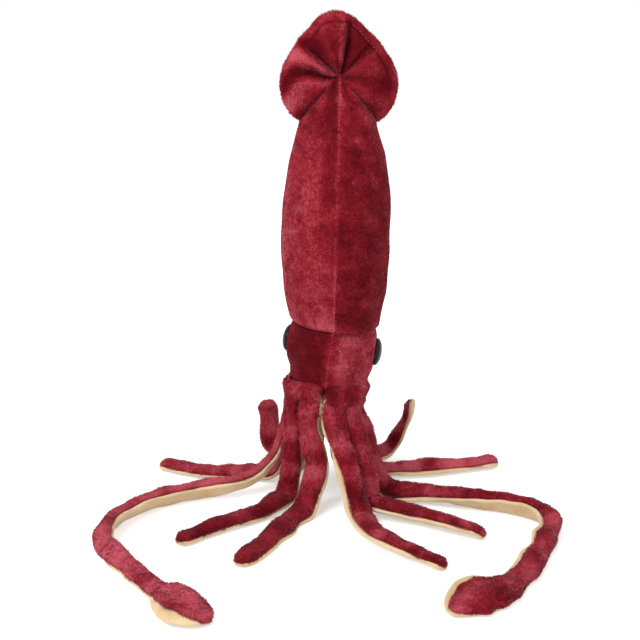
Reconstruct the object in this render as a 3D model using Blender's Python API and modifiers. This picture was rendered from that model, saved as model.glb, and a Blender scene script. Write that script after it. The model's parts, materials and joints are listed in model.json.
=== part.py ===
"""Plush giant squid soft toy, standing on its arms.

A stuffed mantle with a puffed tail fin sits on a stuffed head with two domed eyes. Eight arms and two
long tentacles hang from a ring under the head: each is a plush strip on a suede sole, and bends at its
root and further out. Lengths are metres, +Z is up and the toy faces -Y.
"""

import math

import bmesh
import bpy
from mathutils import Matrix, Vector

MM = 0.001

# How large a joint's empty is drawn
MARK_SIZE = 10.0 * MM

# Where the body's axis meets the floor, measured from the middle of the whole toy's outline
AXIS_X = 1.3 * MM
AXIS_Y = 52.5 * MM

# Cloth and fits
FABRIC = 1.6 * MM
SUEDE = 3.0 * MM
FIT = 0.3 * MM
SEAM_GAP = 0.8 * MM

# Limbs: ten roots stand side by side on a ring
LIMB_COUNT = 10
LIMB_THICKNESS = 7.5 * MM
ROOT_WIDTH = 13.0 * MM
ROOT_SPACING = 1.0 * MM
ROOT_DROP = 10.0 * MM
ARM_WIDTH = 15.0 * MM
ARM_OPENING = 60.0 * MM
ARM_TIP_WIDTH = 13.0 * MM
ARM_CURL_LENGTH = 46.0 * MM
STALK_WIDTH = 13.0 * MM
CLUB_WIDTH = 25.0 * MM
CLUB_LENGTH = 56.0 * MM
BEND_LENGTH = 52.0 * MM
STATION_PITCH = 8.0 * MM
CURVE_SPACING = 2.0 * MM
HEADING_STEPS = 3
FLOOR_PASSES = 3
RING_RADIUS = (ROOT_WIDTH + ROOT_SPACING) / 2 / math.tan(math.pi / LIMB_COUNT) + LIMB_THICKNESS / 2
RING_HEIGHT = 72.0 * MM

# Limb sections and ends: shares and powers that shape them
ARCH_SQUARENESS = 0.8
ARCH_FULLNESS = 0.6
CAP_SHARES = (0.6, 0.95)
TIP_THINNESS = 0.45
ARM_END_RATIO = 0.85
CLUB_WIDEST = 0.55
CLUB_END_RATIO = 0.94

# Head: leans to the toy's left and looks a little to its right
HEAD_X = -2.5 * MM
HEAD_TILT = math.radians(7.0)
HEAD_YAW = math.radians(-5.0)
CROWN_HEIGHT = 8.0 * MM
CROWN_LIP = 0.3 * MM
CROWN_BULGE = 0.6
CROWN_BASE = LIMB_THICKNESS / 2 + 2 * FIT
CROWN_TOP = CROWN_BASE + CROWN_HEIGHT
HEAD_RADIUS = 27.2 * MM
HEAD_BASE_RADIUS = 26.0 * MM
HEAD_LENGTH = 28.0 * MM
HEAD_FULL_SHARES = (0.75, 0.4)
NECK_HEIGHT = CROWN_TOP + FIT + HEAD_LENGTH
DOME_STEP = 0.9 * MM
DOME_RADIUS = HEAD_RADIUS - DOME_STEP
DOME_HOLE = 4.0 * MM

# Eyes: domed buttons on a stem, each held by a washer inside the head. Each stands at the eye angle from
# the front, and the turn then moves both the same way round.
EYE_RADIUS = 9.0 * MM
EYE_DOME = 4.0 * MM
EYE_RIM = 0.8 * MM
EYE_HEIGHT = 31.0 * MM
EYE_ANGLE = math.radians(95.0)
EYE_TURN = math.radians(-4.0)
STEM_RADIUS = 2.2 * MM
STEM_REACH = 2.0 * MM
WASHER_RADIUS = 6.5 * MM
WASHER_THICKNESS = 1.2 * MM
HOLE_FACETS = 20

# Mantle: heights are measured up from the neck's centre
MANTLE_LEAN = math.radians(1.0)
SOCKET_CLEARANCE = 0.5 * MM
LIP_HEIGHT = 6.5 * MM
LIP_OVERHANG = 2.0 * MM
MANTLE_LENGTH = 159.0 * MM
MANTLE_RADIUS = 35.0 * MM
WIDEST_HEIGHT = 64.0 * MM
SHOULDER_RADIUS = 25.0 * MM
SHOULDER_DROP = 32.0 * MM
TIP_RADIUS = 3.2 * MM
BODY_TAPER_POWER = 2.2
TIP_TAPER_POWER = 1.1
MANTLE_TOP = LIP_HEIGHT + MANTLE_LENGTH

# Fin: a puffed arrowhead with a notch that the mantle's tip fills. Its edge is given from the top round
# one side as shares of the reach and of the rise, then of the reach and of the drop.
FIN_REACH = 36.5 * MM
FIN_RISE = 40.0 * MM
FIN_DROP = 28.0 * MM
FIN_PUFF = 8.0 * MM
FIN_SLOPE = 16.0 * MM
FIN_HEART = 0.45
FIN_PIVOT_DROP = 2.0 * MM
NOTCH_CLEARANCE = 0.8 * MM
FIN_UPPER_EDGE = ((0.0, 1.0), (0.25, 0.93), (0.5, 0.7), (0.78, 0.4), (0.96, 0.1))
FIN_LOWER_EDGE = ((1.0, 0.2), (0.94, 0.55), (0.8, 0.85))
FIN_NOTCH_SHARES = (1.0, 0.75, 0.5, 0.25)
FIN_RING_SHARES = (1.0, 0.9, 0.75, 0.5, 0.25)
FIN_STUFFED_RINGS = 3
SLOPED_CLOTH = 1.7 * FABRIC

# Facets round a turned piece, round a dome's profile, over an eye and over a limb's plush arch
TURN_STEPS = 24
DOME_STEPS = 7
EYE_STEPS = 6
ARCH_STEPS = 6
TIP_STEPS = 4
BODY_STEPS = 6
SKIRT_STEPS = 4

# Limb routes in millimetres, as (x, y, z) from the body's axis at the floor, after the root.
# The roll at each point, in degrees, tips the plush towards the limb's right, seen from its root.
ARMS = {
    "front_left_arm": {
        "place": -0.5,
        "route": ((-13.5, -25, 52), (-9, -27, 29), (-13, -32, 15), (-19, -41, 3), (-28, -59, 0),
                  (-40, -86, 0), (-54, -113, 0)),
        "roll": (0, 0, 0, 0, 0, 0, 0),
    },
    "outer_left_arm": {
        "place": -1.5,
        "route": ((-25, -14, 45), (-26.5, -14, 18), (-31, -20, 3), (-45, -42, 0), (-68, -60, 0),
                  (-93, -83, 0)),
        "roll": (0, 0, 6, 6, 6, 6),
    },
    "side_left_arm": {
        "place": -3.5,
        "route": ((-26, 17, 40), (-33, 20, 12), (-45, 23, 0), (-64, 23, 0), (-89, 29, 0), (-116, 42, 0)),
        "roll": (0, 0, 8, 8, 8, 8),
    },
    "back_left_arm": {
        "place": -4.5,
        "route": ((-11, 27, 40), (-13, 32, 12), (-20, 43, 0), (-34, 64, 0), (-41, 74, 6), (-42.5, 79, 16),
                  (-43, 80, 27), (-44, 79, 37)),
        "roll": (0, 0, 0, 0, 0, 0, 0, 0),
    },
    "front_right_arm": {
        "place": 0.5,
        "route": ((7, -29, 46), (12, -34, 32), (16, -43, 18), (21, -58, 6), (28, -77, 0), (48, -100, 0),
                  (67, -119, 0)),
        "roll": (-10, -20, -26, -24, -18, -18, -18),
    },
    "outer_right_arm": {
        "place": 1.5,
        "route": ((18.5, -17.5, 46), (22, -21.5, 25), (28, -35, 4), (45, -47, 0), (63, -57, 0), (95, -77, 0)),
        "roll": (0, 0, -22, -26, -28, -28),
    },
    "side_right_arm": {
        "place": 3.5,
        "route": ((21, 16, 40), (27, 22, 12), (38, 28, 0), (62, 30, 0), (90, 37, 0), (116, 46, 0)),
        "roll": (0, 0, -12, -12, -12, -12),
    },
    "back_right_arm": {
        "place": 4.5,
        "route": ((8, 26, 40), (10, 31, 12), (17, 43, 0), (28, 57, 0), (41, 63, 6), (50, 65, 18),
                  (55, 65, 31), (56.5, 65, 42)),
        "roll": (0, 0, 0, 0, -5, -10, -14, -15),
    },
}
TENTACLES = {
    "left_tentacle": {
        "place": -2.5,
        "route": ((-31, 2.5, 46), (-35.5, 2, 30), (-42.5, 0, 19), (-53, -5, 12), (-69, -11, 9), (-87, -16, 8),
                  (-110, -27, 0), (-128, -47, 0), (-138, -72, 0), (-136, -97, 0), (-122, -119, 0),
                  (-104, -142, 0), (-88, -162, 0), (-68, -188, 0)),
        "roll": (0, 12, 30, 42, 48, 50, 50, 52, 58, 46, 26, 4, -14, -18),
    },
    "right_tentacle": {
        "place": 2.5,
        "route": ((27, -1, 40), (30, -1, 22), (37, -4, 6), (46, -10, 0), (60, -15, 0), (79, -24, 0),
                  (98, -32, 0), (115, -38, 0), (131, -50, 0), (136, -69, 0), (130, -93, 0), (121, -114, 0),
                  (110, -135, 0), (96, -153, 0), (66, -174, 0)),
        "roll": (0, 0, 0, 0, -12, -28, -42, -50, -55, -55, -45, -30, -18, -12, -12),
    },
}


def make_material(name, colour, roughness):
    material = bpy.data.materials.new(name)
    material.use_nodes = True
    shader = material.node_tree.nodes["Principled BSDF"]
    shader.inputs["Base Color"].default_value = (*colour, 1.0)
    shader.inputs["Roughness"].default_value = roughness
    shader.inputs["Metallic"].default_value = 0.0
    return material


def make_frame(name, matrix, parent=None):
    """An empty on a joint's axis or at a part's own frame, given by its world matrix."""
    empty = bpy.data.objects.new(name, None)
    empty.empty_display_size = MARK_SIZE
    TOY.objects.link(empty)
    if parent is None:
        empty.matrix_basis = matrix
    else:
        empty.parent = parent[0]
        empty.matrix_basis = parent[1].inverted() @ matrix
    return empty, matrix


def add_part(name, mesh, material, frame, spin=0.0, offset=(0.0, 0.0, 0.0)):
    part = bpy.data.objects.new(name, mesh)
    TOY.objects.link(part)
    part.parent = frame[0]
    part.location = offset
    part.rotation_euler = (0.0, 0.0, spin)
    mesh.materials.append(material)
    mesh.shade_smooth()
    return part


def profile_mesh(name, points):
    """A chain of edges in the XZ plane, from (radius, height) pairs running down the outer side."""
    mesh = bpy.data.meshes.new(name)
    edges = [(i, i + 1) for i in range(len(points) - 1)]
    mesh.from_pydata([(radius, 0.0, height) for radius, height in points], edges, [])
    return mesh


def add_turn(part, angle, steps):
    turn = part.modifiers.new("turn", "SCREW")
    turn.axis = "Z"
    turn.angle = angle
    turn.steps = steps
    turn.render_steps = steps
    turn.use_merge_vertices = True
    turn.merge_threshold = 0.001 * MM


def add_wall(part, even):
    """Cloth of one thickness inside an open surface, kept even over corners where asked."""
    wall = part.modifiers.new("wall", "SOLIDIFY")
    wall.thickness = FABRIC
    wall.offset = -1.0
    wall.use_even_offset = even


def add_cut(part, cutter):
    cut = part.modifiers.new("cut_" + cutter.name, "BOOLEAN")
    cut.operation = "DIFFERENCE"
    cut.object = cutter


def half_shells(name, points, material, frame):
    """Left and right cloth panels of a turned form, parted by a seam in front and behind."""
    panels = {}
    for side, sign in (("left", -1), ("right", 1)):
        full_name = name + "_" + side + "_panel"
        mesh = profile_mesh(full_name, points)
        offset = (sign * SEAM_GAP / 2, 0.0, 0.0)
        panel = add_part(full_name, mesh, material, frame, -sign * math.pi / 2, offset)
        add_turn(panel, math.pi, TURN_STEPS // 2)
        add_wall(panel, True)
        panels[side] = panel
    return panels


def turned_solid(name, points, material, frame):
    part = add_part(name, profile_mesh(name, points), material, frame)
    add_turn(part, 2 * math.pi, TURN_STEPS)
    return part


def inset(points, distance):
    """The profile moved inwards by a distance, square to itself."""
    moved = []
    for i, point in enumerate(points):
        before = Vector(points[max(i - 1, 0)])
        after = Vector(points[min(i + 1, len(points) - 1)])
        along = (after - before).normalized()
        moved.append((point[0] + along.y * distance, point[1] - along.x * distance))
    return moved


def arc(radius, start, end, steps):
    """(radius, height) pairs on a circle about the axis, by angle up from the level plane."""
    angles = [start + (end - start) * i / steps for i in range(steps + 1)]
    return [(radius * math.cos(a), radius * math.sin(a)) for a in angles]


def mantle_radius(height):
    """The mantle's outer radius at a height above the neck's centre."""
    shoulder = MANTLE_TOP - SHOULDER_DROP
    lip_radius = HEAD_RADIUS + LIP_OVERHANG
    if height <= WIDEST_HEIGHT:
        share = (height - LIP_HEIGHT) / (WIDEST_HEIGHT - LIP_HEIGHT)
        return lip_radius + (MANTLE_RADIUS - lip_radius) * math.sin(share * math.pi / 2)
    if height <= shoulder:
        share = (height - WIDEST_HEIGHT) / (shoulder - WIDEST_HEIGHT)
        return SHOULDER_RADIUS + (MANTLE_RADIUS - SHOULDER_RADIUS) * (1 - share ** BODY_TAPER_POWER)
    share = (height - shoulder) / SHOULDER_DROP
    return TIP_RADIUS + (SHOULDER_RADIUS - TIP_RADIUS) * (1 - share ** TIP_TAPER_POWER)


def mantle_profile():
    shoulder = MANTLE_TOP - SHOULDER_DROP
    heights = [MANTLE_TOP - SHOULDER_DROP * i / TIP_STEPS for i in range(TIP_STEPS)]
    heights += [shoulder + (WIDEST_HEIGHT - shoulder) * i / BODY_STEPS for i in range(BODY_STEPS)]
    skirt = WIDEST_HEIGHT - LIP_HEIGHT
    heights += [WIDEST_HEIGHT - skirt * i / SKIRT_STEPS for i in range(SKIRT_STEPS + 1)]
    return [(mantle_radius(height), height) for height in heights]


def head_profile():
    """The head's skin from the hole at the top of its dome down to the crown, from the ring's plane."""
    top = math.acos(DOME_HOLE / DOME_RADIUS)
    dome = [(radius, height + NECK_HEIGHT) for radius, height in arc(DOME_RADIUS, top, 0.0, DOME_STEPS)]
    base = CROWN_TOP + FIT
    sides = [(HEAD_RADIUS, base + HEAD_LENGTH * share) for share in HEAD_FULL_SHARES]
    return dome + sides + [(HEAD_BASE_RADIUS, base)]


def build_mantle(frame):
    points = mantle_profile()
    half_shells("mantle", points, PLUSH, frame)
    outer = inset(points, FABRIC + FIT)
    outer = [point for point in outer if point[0] > TIP_RADIUS]
    socket = DOME_RADIUS + SEAM_GAP / 2 + SOCKET_CLEARANCE
    hollow = arc(socket, math.asin((LIP_HEIGHT + FIT) / socket), math.pi / 2, DOME_STEPS)
    hollow[-1] = (0.0, socket)
    outer = [point for point in outer if point[1] > hollow[0][1]]
    turned_solid("mantle_stuffing", [(0.0, outer[0][1])] + outer + hollow, FIBRE, frame)


def build_head(frame):
    points = head_profile()
    panels = half_shells("head", points, PLUSH, frame)
    outer = [point for point in inset(points, FABRIC + FIT) if point[0] > FIT]
    stuffing_top = [(0.0, outer[0][1])]
    stuffing_foot = [(outer[-1][0], CROWN_TOP + FIT), (0.0, CROWN_TOP + FIT)]
    stuffing = turned_solid("head_stuffing", stuffing_top + outer[:-1] + stuffing_foot, FIBRE, frame)
    crown_radius = RING_RADIUS + LIMB_THICKNESS / 2
    crown = ((0.0, CROWN_TOP), (HEAD_BASE_RADIUS - CROWN_LIP, CROWN_TOP),
             (crown_radius + CROWN_LIP, CROWN_BASE + CROWN_HEIGHT * CROWN_BULGE),
             (crown_radius, CROWN_BASE), (0.0, CROWN_BASE))
    turned_solid("arm_crown", crown, PLUSH, frame)
    return panels, stuffing


def add_cutter(name, radius, length, frame, matrix):
    """A plain cylinder along its own Z axis, from its base up."""
    mesh = bpy.data.meshes.new(name)
    shape = bmesh.new()
    bmesh.ops.create_cone(shape, cap_ends=True, segments=HOLE_FACETS, radius1=radius, radius2=radius,
                          depth=length, matrix=Matrix.Translation((0.0, 0.0, length / 2)))
    shape.to_mesh(mesh)
    shape.free()
    cutter = bpy.data.objects.new(name, mesh)
    CUTTERS.objects.link(cutter)
    cutter.parent = frame[0]
    cutter.matrix_basis = matrix
    cutter.hide_render = True
    cutter.display_type = "WIRE"
    return cutter


def build_eyes(frame, panels, stuffing):
    wall_bow = HEAD_RADIUS - FABRIC - math.sqrt((HEAD_RADIUS - FABRIC) ** 2 - WASHER_RADIUS ** 2)
    washer_depth = FABRIC + wall_bow + SEAM_GAP / 2 + FIT
    stem_end = washer_depth + WASHER_THICKNESS + STEM_REACH
    dome = [(EYE_RADIUS * math.cos(a), EYE_RIM + EYE_DOME * math.sin(a))
            for a in (math.pi / 2 * (1 - i / EYE_STEPS) for i in range(EYE_STEPS + 1))]
    dome[0] = (0.0, EYE_RIM + EYE_DOME)
    button = dome + [(EYE_RADIUS, 0.0), (STEM_RADIUS, 0.0), (STEM_RADIUS, -stem_end), (0.0, -stem_end)]
    bore = STEM_RADIUS + FIT
    washer = [(bore, -washer_depth), (WASHER_RADIUS, -washer_depth),
              (WASHER_RADIUS, -washer_depth - WASHER_THICKNESS), (bore, -washer_depth - WASHER_THICKNESS),
              (bore, -washer_depth)]
    for side, sign in (("left", -1), ("right", 1)):
        around = Matrix.Rotation(sign * EYE_ANGLE + EYE_TURN, 4, "Z")
        seat = Matrix.Translation((0.0, -HEAD_RADIUS - SEAM_GAP / 2 - FIT, EYE_HEIGHT))
        matrix = around @ seat @ Matrix.Rotation(math.pi / 2, 4, "X")
        place = make_frame(side + "_eye_frame", frame[1] @ matrix, frame)
        turned_solid(side + "_eye", button, GLOSS, place)
        turned_solid(side + "_eye_washer", washer, NYLON, place)
        into_head = matrix @ Matrix.Rotation(math.pi, 4, "X")
        hole = add_cutter(side + "_stem_hole", STEM_RADIUS + FIT, FABRIC * 4, frame, into_head)
        pocket_depth = stem_end + 2 * FIT
        pocket = add_cutter(side + "_washer_pocket", WASHER_RADIUS + FIT, pocket_depth, frame, into_head)
        add_cut(panels[side], hole)
        add_cut(stuffing, pocket)


def fin_outline():
    """The arrowhead's edge, once round, as (x, z) from the fin's pivot."""
    right = [(FIN_REACH * x, FIN_RISE * z) for x, z in FIN_UPPER_EDGE]
    right += [(FIN_REACH * x, -FIN_DROP * z) for x, z in FIN_LOWER_EDGE]
    for share in FIN_NOTCH_SHARES:
        height = -FIN_DROP * share
        right.append((mantle_radius(MANTLE_TOP - FIN_PIVOT_DROP + height) + NOTCH_CLEARANCE, height))
    apex = (0.0, FIN_PIVOT_DROP + NOTCH_CLEARANCE)
    beside_apex = (TIP_RADIUS + NOTCH_CLEARANCE, FIN_PIVOT_DROP + NOTCH_CLEARANCE)
    left = [(-x, z) for x, z in reversed(right[1:])]
    return right + [beside_apex, apex, (-beside_apex[0], beside_apex[1])] + left


def edge_distance(point, outline):
    """How far a point of the fin's plane lies from the outline."""
    nearest = []
    for start, end in zip(outline, outline[1:] + outline[:1]):
        base, way = Vector(start), Vector(end) - Vector(start)
        share = min(1.0, max(0.0, (point - base).dot(way) / way.length_squared))
        nearest.append((base + way * share - point).length)
    return min(nearest)


def fin_rings(shares, thickness):
    """Rings of the outline drawn in to the fin's heart, standing forward of its middle plane."""
    outline = fin_outline()
    heart = Vector((0.0, FIN_RISE * FIN_HEART))
    rings = []
    for share in shares:
        flat = [heart.lerp(Vector(point), share) for point in outline]
        rings.append([Vector((p.x, -thickness(edge_distance(p, outline)), p.y)) for p in flat])
    return rings


def ring_faces(shape, rings):
    """Rows of faces between rings of points, closed by a fan-like face inside the last ring."""
    rows = [[shape.verts.new(point) for point in ring] for ring in rings]
    count = len(rows[0])
    for outer, inner in zip(rows, rows[1:]):
        for i in range(count):
            shape.faces.new((outer[i], outer[(i + 1) % count], inner[(i + 1) % count], inner[i]))
    shape.faces.new(rows[-1])
    return rows


def build_fin(frame):
    """Front and back layers, puffed away from each other, with the filling between them."""
    def puff(distance):
        return FIT / 2 + FABRIC + FIN_PUFF * math.sin(min(distance / FIN_SLOPE, 1.0) * math.pi / 2)

    for name, turn in (("fin_front_layer", 0.0), ("fin_back_layer", math.pi)):
        mesh = bpy.data.meshes.new(name)
        shape = bmesh.new()
        ring_faces(shape, fin_rings(FIN_RING_SHARES, puff))
        shape.transform(Matrix.Rotation(turn, 4, "Z"))
        shape.normal_update()
        if sum(face.normal.y for face in shape.faces) * math.cos(turn) > 0:
            bmesh.ops.reverse_faces(shape, faces=shape.faces)
        shape.to_mesh(mesh)
        shape.free()
        layer = add_part(name, mesh, PLUSH, frame)
        add_wall(layer, False)

    mesh = bpy.data.meshes.new("fin_stuffing")
    shape = bmesh.new()
    front = fin_rings(FIN_RING_SHARES[-FIN_STUFFED_RINGS:],
                      lambda distance: max(puff(distance) - SLOPED_CLOTH - FIT, FIT / 2))
    back = [[Vector((p.x, -p.y, p.z)) for p in ring] for ring in front]
    front_rows = ring_faces(shape, front)
    back_rows = ring_faces(shape, back)
    count = len(front_rows[0])
    for i in range(count):
        j = (i + 1) % count
        shape.faces.new((front_rows[0][i], front_rows[0][j], back_rows[0][j], back_rows[0][i]))
    bmesh.ops.recalc_face_normals(shape, faces=shape.faces)
    shape.to_mesh(mesh)
    shape.free()
    add_part("fin_stuffing", mesh, FIBRE, frame)


def smooth_curve(points, rolls, spacing):
    """Closely spaced points and rolls on one smooth curve through all the given points."""
    places, turns = [], []
    last = len(points) - 1
    for i in range(last):
        p0, p1 = points[max(i - 1, 0)], points[i]
        p2, p3 = points[i + 1], points[min(i + 2, last)]
        steps = max(2, round((p2 - p1).length / spacing))
        for k in range(steps):
            t = k / steps
            places.append(0.5 * (2 * p1 + (p2 - p0) * t + (2 * p0 - 5 * p1 + 4 * p2 - p3) * t ** 2
                                 + (3 * p1 - p0 - 3 * p2 + p3) * t ** 3))
            turns.append(rolls[i] + (rolls[i + 1] - rolls[i]) * t)
    return places + [points[-1]], turns + [rolls[-1]]


class Limb:
    """A limb's middle line with the direction of its side and of its plush at every point."""

    def __init__(self, root, outward, upward, route, rolls, width_at):
        points = [root, root - upward * ROOT_DROP]
        points += [Vector((x * MM + AXIS_X, y * MM + AXIS_Y, z * MM)) for x, y, z in route]
        half = LIMB_THICKNESS / 2
        for point in points:
            point.z = max(point.z, half)
        self.places, self.rolls = smooth_curve(points, [0.0, 0.0] + list(rolls), CURVE_SPACING)
        self.measure()
        self.width_at = width_at
        knee = next(i for i, place in enumerate(self.places) if place.z < 2 * half)
        self.headings = self.level_headings(knee, outward)
        level = Vector((0.0, 0.0, 1.0))
        self.uprights = [upward.lerp(level, min(1.0, i / knee)) for i in range(len(self.places))]
        for _ in range(FLOOR_PASSES):
            self.lay_on_floor()
            self.measure()

    def measure(self):
        self.runs = [0.0]
        for before, after in zip(self.places, self.places[1:]):
            self.runs.append(self.runs[-1] + (after - before).length)
        self.length = self.runs[-1]

    def level_headings(self, knee, outward):
        """Level directions that the limb leads in: outwards at its root, along its way past the knee.

        Where the limb stands upright it keeps the last direction it had.
        """
        headings = []
        way = outward
        last = len(self.places) - 1
        for i in range(last + 1):
            middle = max(i, knee)
            step = self.places[min(middle + HEADING_STEPS, last)] - self.places[middle - HEADING_STEPS]
            step.z = 0.0
            if step.length >= CURVE_SPACING:
                way = step.normalized()
            headings.append(outward.lerp(way, min(1.0, i / knee)).normalized())
        return headings

    def lay_on_floor(self):
        """Lifts each point until the section there clears the floor."""
        lifted = []
        for i, place in enumerate(self.places):
            side, plush = self.directions(i)[1:]
            width = self.width_at(self.runs[i], self.length)
            reach = abs(side.z) * width / 2 + abs(plush.z) * LIMB_THICKNESS / 2
            lifted.append(Vector((place.x, place.y, max(place.z, reach))))
        self.places = lifted

    def directions(self, index):
        ahead = min(index + 1, len(self.places) - 1)
        along = (self.places[ahead] - self.places[max(index - 1, 0)]).normalized()
        side = self.headings[index].cross(self.uprights[index])
        side = (side - along * side.dot(along)).normalized()
        side = Matrix.Rotation(math.radians(self.rolls[index]), 3, along) @ side
        return along, side, side.cross(along)

    def at(self, run):
        """Place, direction, side and plush directions at a distance from the root."""
        index = min(range(len(self.runs)), key=lambda i: abs(self.runs[i] - run))
        along, side, plush = self.directions(index)
        return self.places[index] + along * (run - self.runs[index]), along, side, plush


def plush_section(width, low, high):
    """An arch over a flat base, as (sideways, plushwards) pairs."""
    points = []
    for i in range(ARCH_STEPS + 1):
        angle = math.pi * i / ARCH_STEPS
        across = math.copysign(abs(math.cos(angle)) ** ARCH_SQUARENESS, math.cos(angle))
        points.append((width / 2 * across, low + (high - low) * math.sin(angle) ** ARCH_FULLNESS))
    return points


def suede_section(width, low, high):
    return [(-width / 2, low), (-width / 2, high), (width / 2, high), (width / 2, low)]


def loft(name, sections, material, frame):
    """A closed skin over a row of sections, given as world points, with like diagonals throughout."""
    mesh = bpy.data.meshes.new(name)
    shape = bmesh.new()
    inverse = frame[1].inverted()
    rows = [[shape.verts.new(inverse @ point) for point in section] for section in sections]
    count = len(rows[0])
    for row, following in zip(rows, rows[1:]):
        for i in range(count):
            j = (i + 1) % count
            shape.faces.new((row[i], row[j], following[j]))
            shape.faces.new((row[i], following[j], following[i]))
    shape.faces.new(rows[0])
    shape.faces.new(rows[-1])
    bmesh.ops.recalc_face_normals(shape, faces=shape.faces)
    shape.to_mesh(mesh)
    shape.free()
    return add_part(name, mesh, material, frame)


def build_segment(name, limb, start, end, frame, hinged_start, tip):
    """One stretch of a limb: its plush on its suede sole, with ends rounded about the joints."""
    half = LIMB_THICKNESS / 2
    near, far = [share * half for share in CAP_SHARES]
    runs = []
    if hinged_start:
        runs += [start - far, start - near]
        first = start
    else:
        first = start + half + FIT
    steps = max(2, round((end - first) / STATION_PITCH))
    runs += [first + (end - first) * i / steps for i in range(steps + 1)]
    if tip:
        runs.insert(-1, end - half * 0.5)
    else:
        runs += [end + near, end + far]

    plush_rows, suede_rows = [], []
    for run in runs:
        place, along, side, plush = limb.at(min(max(run, start), end))
        beyond = max(start - run, run - end, 0.0)
        place = place + along * (run - min(max(run, start), end))
        width = limb.width_at(run, limb.length)
        reach = math.sqrt(half ** 2 - beyond ** 2)
        if tip:
            reach = min(reach, half * (1 - TIP_THINNESS * (1 - min(1.0, (end - run) / half))))
        low = max(-half + SUEDE + FIT, -reach)
        section = plush_section(width, low, reach)
        plush_rows.append([place + side * u + plush * v for u, v in section])
        if beyond == 0.0:
            section = suede_section(width, -half, -half + SUEDE)
            suede_rows.append([place + side * u + plush * v for u, v in section])
    loft(name + "_plush", plush_rows, PLUSH, frame)
    loft(name + "_suede", suede_rows, SOLE, frame)


def joint_frame(name, limb, run, parent):
    """An empty at a limb's joint, its X along the hinge and its Z along the plush."""
    place, along, side, plush = limb.at(run)
    matrix = Matrix((side, plush.cross(side), plush)).transposed().to_4x4()
    matrix.translation = place
    return make_frame(name, matrix, parent)


def arm_width(run, length):
    """Opens from the root, then tapers slowly to a rounded end."""
    if run < ARM_OPENING:
        opening = 0.5 - 0.5 * math.cos(math.pi * max(run, 0.0) / ARM_OPENING)
        width = ROOT_WIDTH + (ARM_WIDTH - ROOT_WIDTH) * opening
    else:
        width = ARM_WIDTH + (ARM_TIP_WIDTH - ARM_WIDTH) * (run - ARM_OPENING) / (length - ARM_OPENING)
    left = max(length - run, 0.0) / (ARM_TIP_WIDTH / 2)
    return width * math.sqrt(1 - (1 - min(left, 1.0)) ** 2 * ARM_END_RATIO)


def tentacle_width(run, length):
    """An even stalk that opens into a spade-shaped club."""
    share = 1 - (length - run) / CLUB_LENGTH
    if share <= 0:
        return STALK_WIDTH
    if share < CLUB_WIDEST:
        opening = 0.5 - 0.5 * math.cos(math.pi * share / CLUB_WIDEST)
        return STALK_WIDTH + (CLUB_WIDTH - STALK_WIDTH) * opening
    closing = min((share - CLUB_WIDEST) / (1 - CLUB_WIDEST), 1.0)
    return CLUB_WIDTH * math.sqrt(1 - CLUB_END_RATIO * closing ** 2)


def build_limb(name, plan, width_at, cuts, frame):
    """A limb cut into segments, each hinged to the one before.

    The cuts are pairs of a segment's name and its start's distance from the tip, the first at the root.
    """
    angle = 2 * math.pi * plan["place"] / LIMB_COUNT
    place = Vector((RING_RADIUS * math.sin(angle), -RING_RADIUS * math.cos(angle), 0.0))
    root = frame[1] @ place
    outward = (root - frame[1].translation).normalized()
    limb = Limb(root, outward, frame[1].col[2].to_3d(), plan["route"], plan["roll"], width_at)
    starts = [0.0] + [limb.length - from_tip for label, from_tip in cuts[1:]]
    ends = starts[1:] + [limb.length]
    last = len(cuts) - 1
    for i, (start, end) in enumerate(zip(starts, ends)):
        full_name = name + "_" + cuts[i][0]
        frame = joint_frame(full_name + "_joint", limb, start, frame)
        build_segment(full_name, limb, start, end, frame, i == 0, i == last)


def build_limbs(frame):
    for name, plan in ARMS.items():
        cuts = (("base", None), ("tip", ARM_CURL_LENGTH))
        build_limb(name, plan, arm_width, cuts, frame)
    for name, plan in TENTACLES.items():
        cuts = (("stalk", None), ("bend", CLUB_LENGTH + BEND_LENGTH), ("club", CLUB_LENGTH))
        build_limb(name, plan, tentacle_width, cuts, frame)


for old in list(bpy.data.objects):
    bpy.data.objects.remove(old, do_unlink=True)
TOY = bpy.data.collections.new("plush_squid")
CUTTERS = bpy.data.collections.new("cutters")
bpy.context.scene.collection.children.link(TOY)
bpy.context.scene.collection.children.link(CUTTERS)

PLUSH = make_material("crimson_plush", (0.27, 0.022, 0.034), 0.9)
SOLE = make_material("tan_suede", (0.56, 0.40, 0.24), 0.85)
FIBRE = make_material("white_fibre", (0.85, 0.85, 0.83), 1.0)
GLOSS = make_material("black_gloss_plastic", (0.01, 0.011, 0.011), 0.08)
NYLON = make_material("white_nylon", (0.8, 0.8, 0.78), 0.5)

ring_place = Matrix.Translation((AXIS_X + HEAD_X, AXIS_Y, RING_HEIGHT))
ring_turn = Matrix.Rotation(HEAD_TILT, 4, "Y") @ Matrix.Rotation(HEAD_YAW, 4, "Z")
head_frame = make_frame("head_frame", ring_place @ ring_turn)
neck_place = Matrix.Translation(head_frame[1] @ Vector((0.0, 0.0, NECK_HEIGHT)))
mantle_frame = make_frame("neck_joint", neck_place @ Matrix.Rotation(MANTLE_LEAN, 4, "Y"), head_frame)
fin_place = Matrix.Translation((0.0, 0.0, MANTLE_TOP - FIN_PIVOT_DROP))
fin_frame = make_frame("fin_joint", mantle_frame[1] @ fin_place, mantle_frame)

head_panels, head_stuffing = build_head(head_frame)
build_eyes(head_frame, head_panels, head_stuffing)
build_mantle(mantle_frame)
build_fin(fin_frame)
build_limbs(head_frame)
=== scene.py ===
import json
import math

import bpy
import numpy as np
from mathutils import Matrix, Vector


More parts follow.
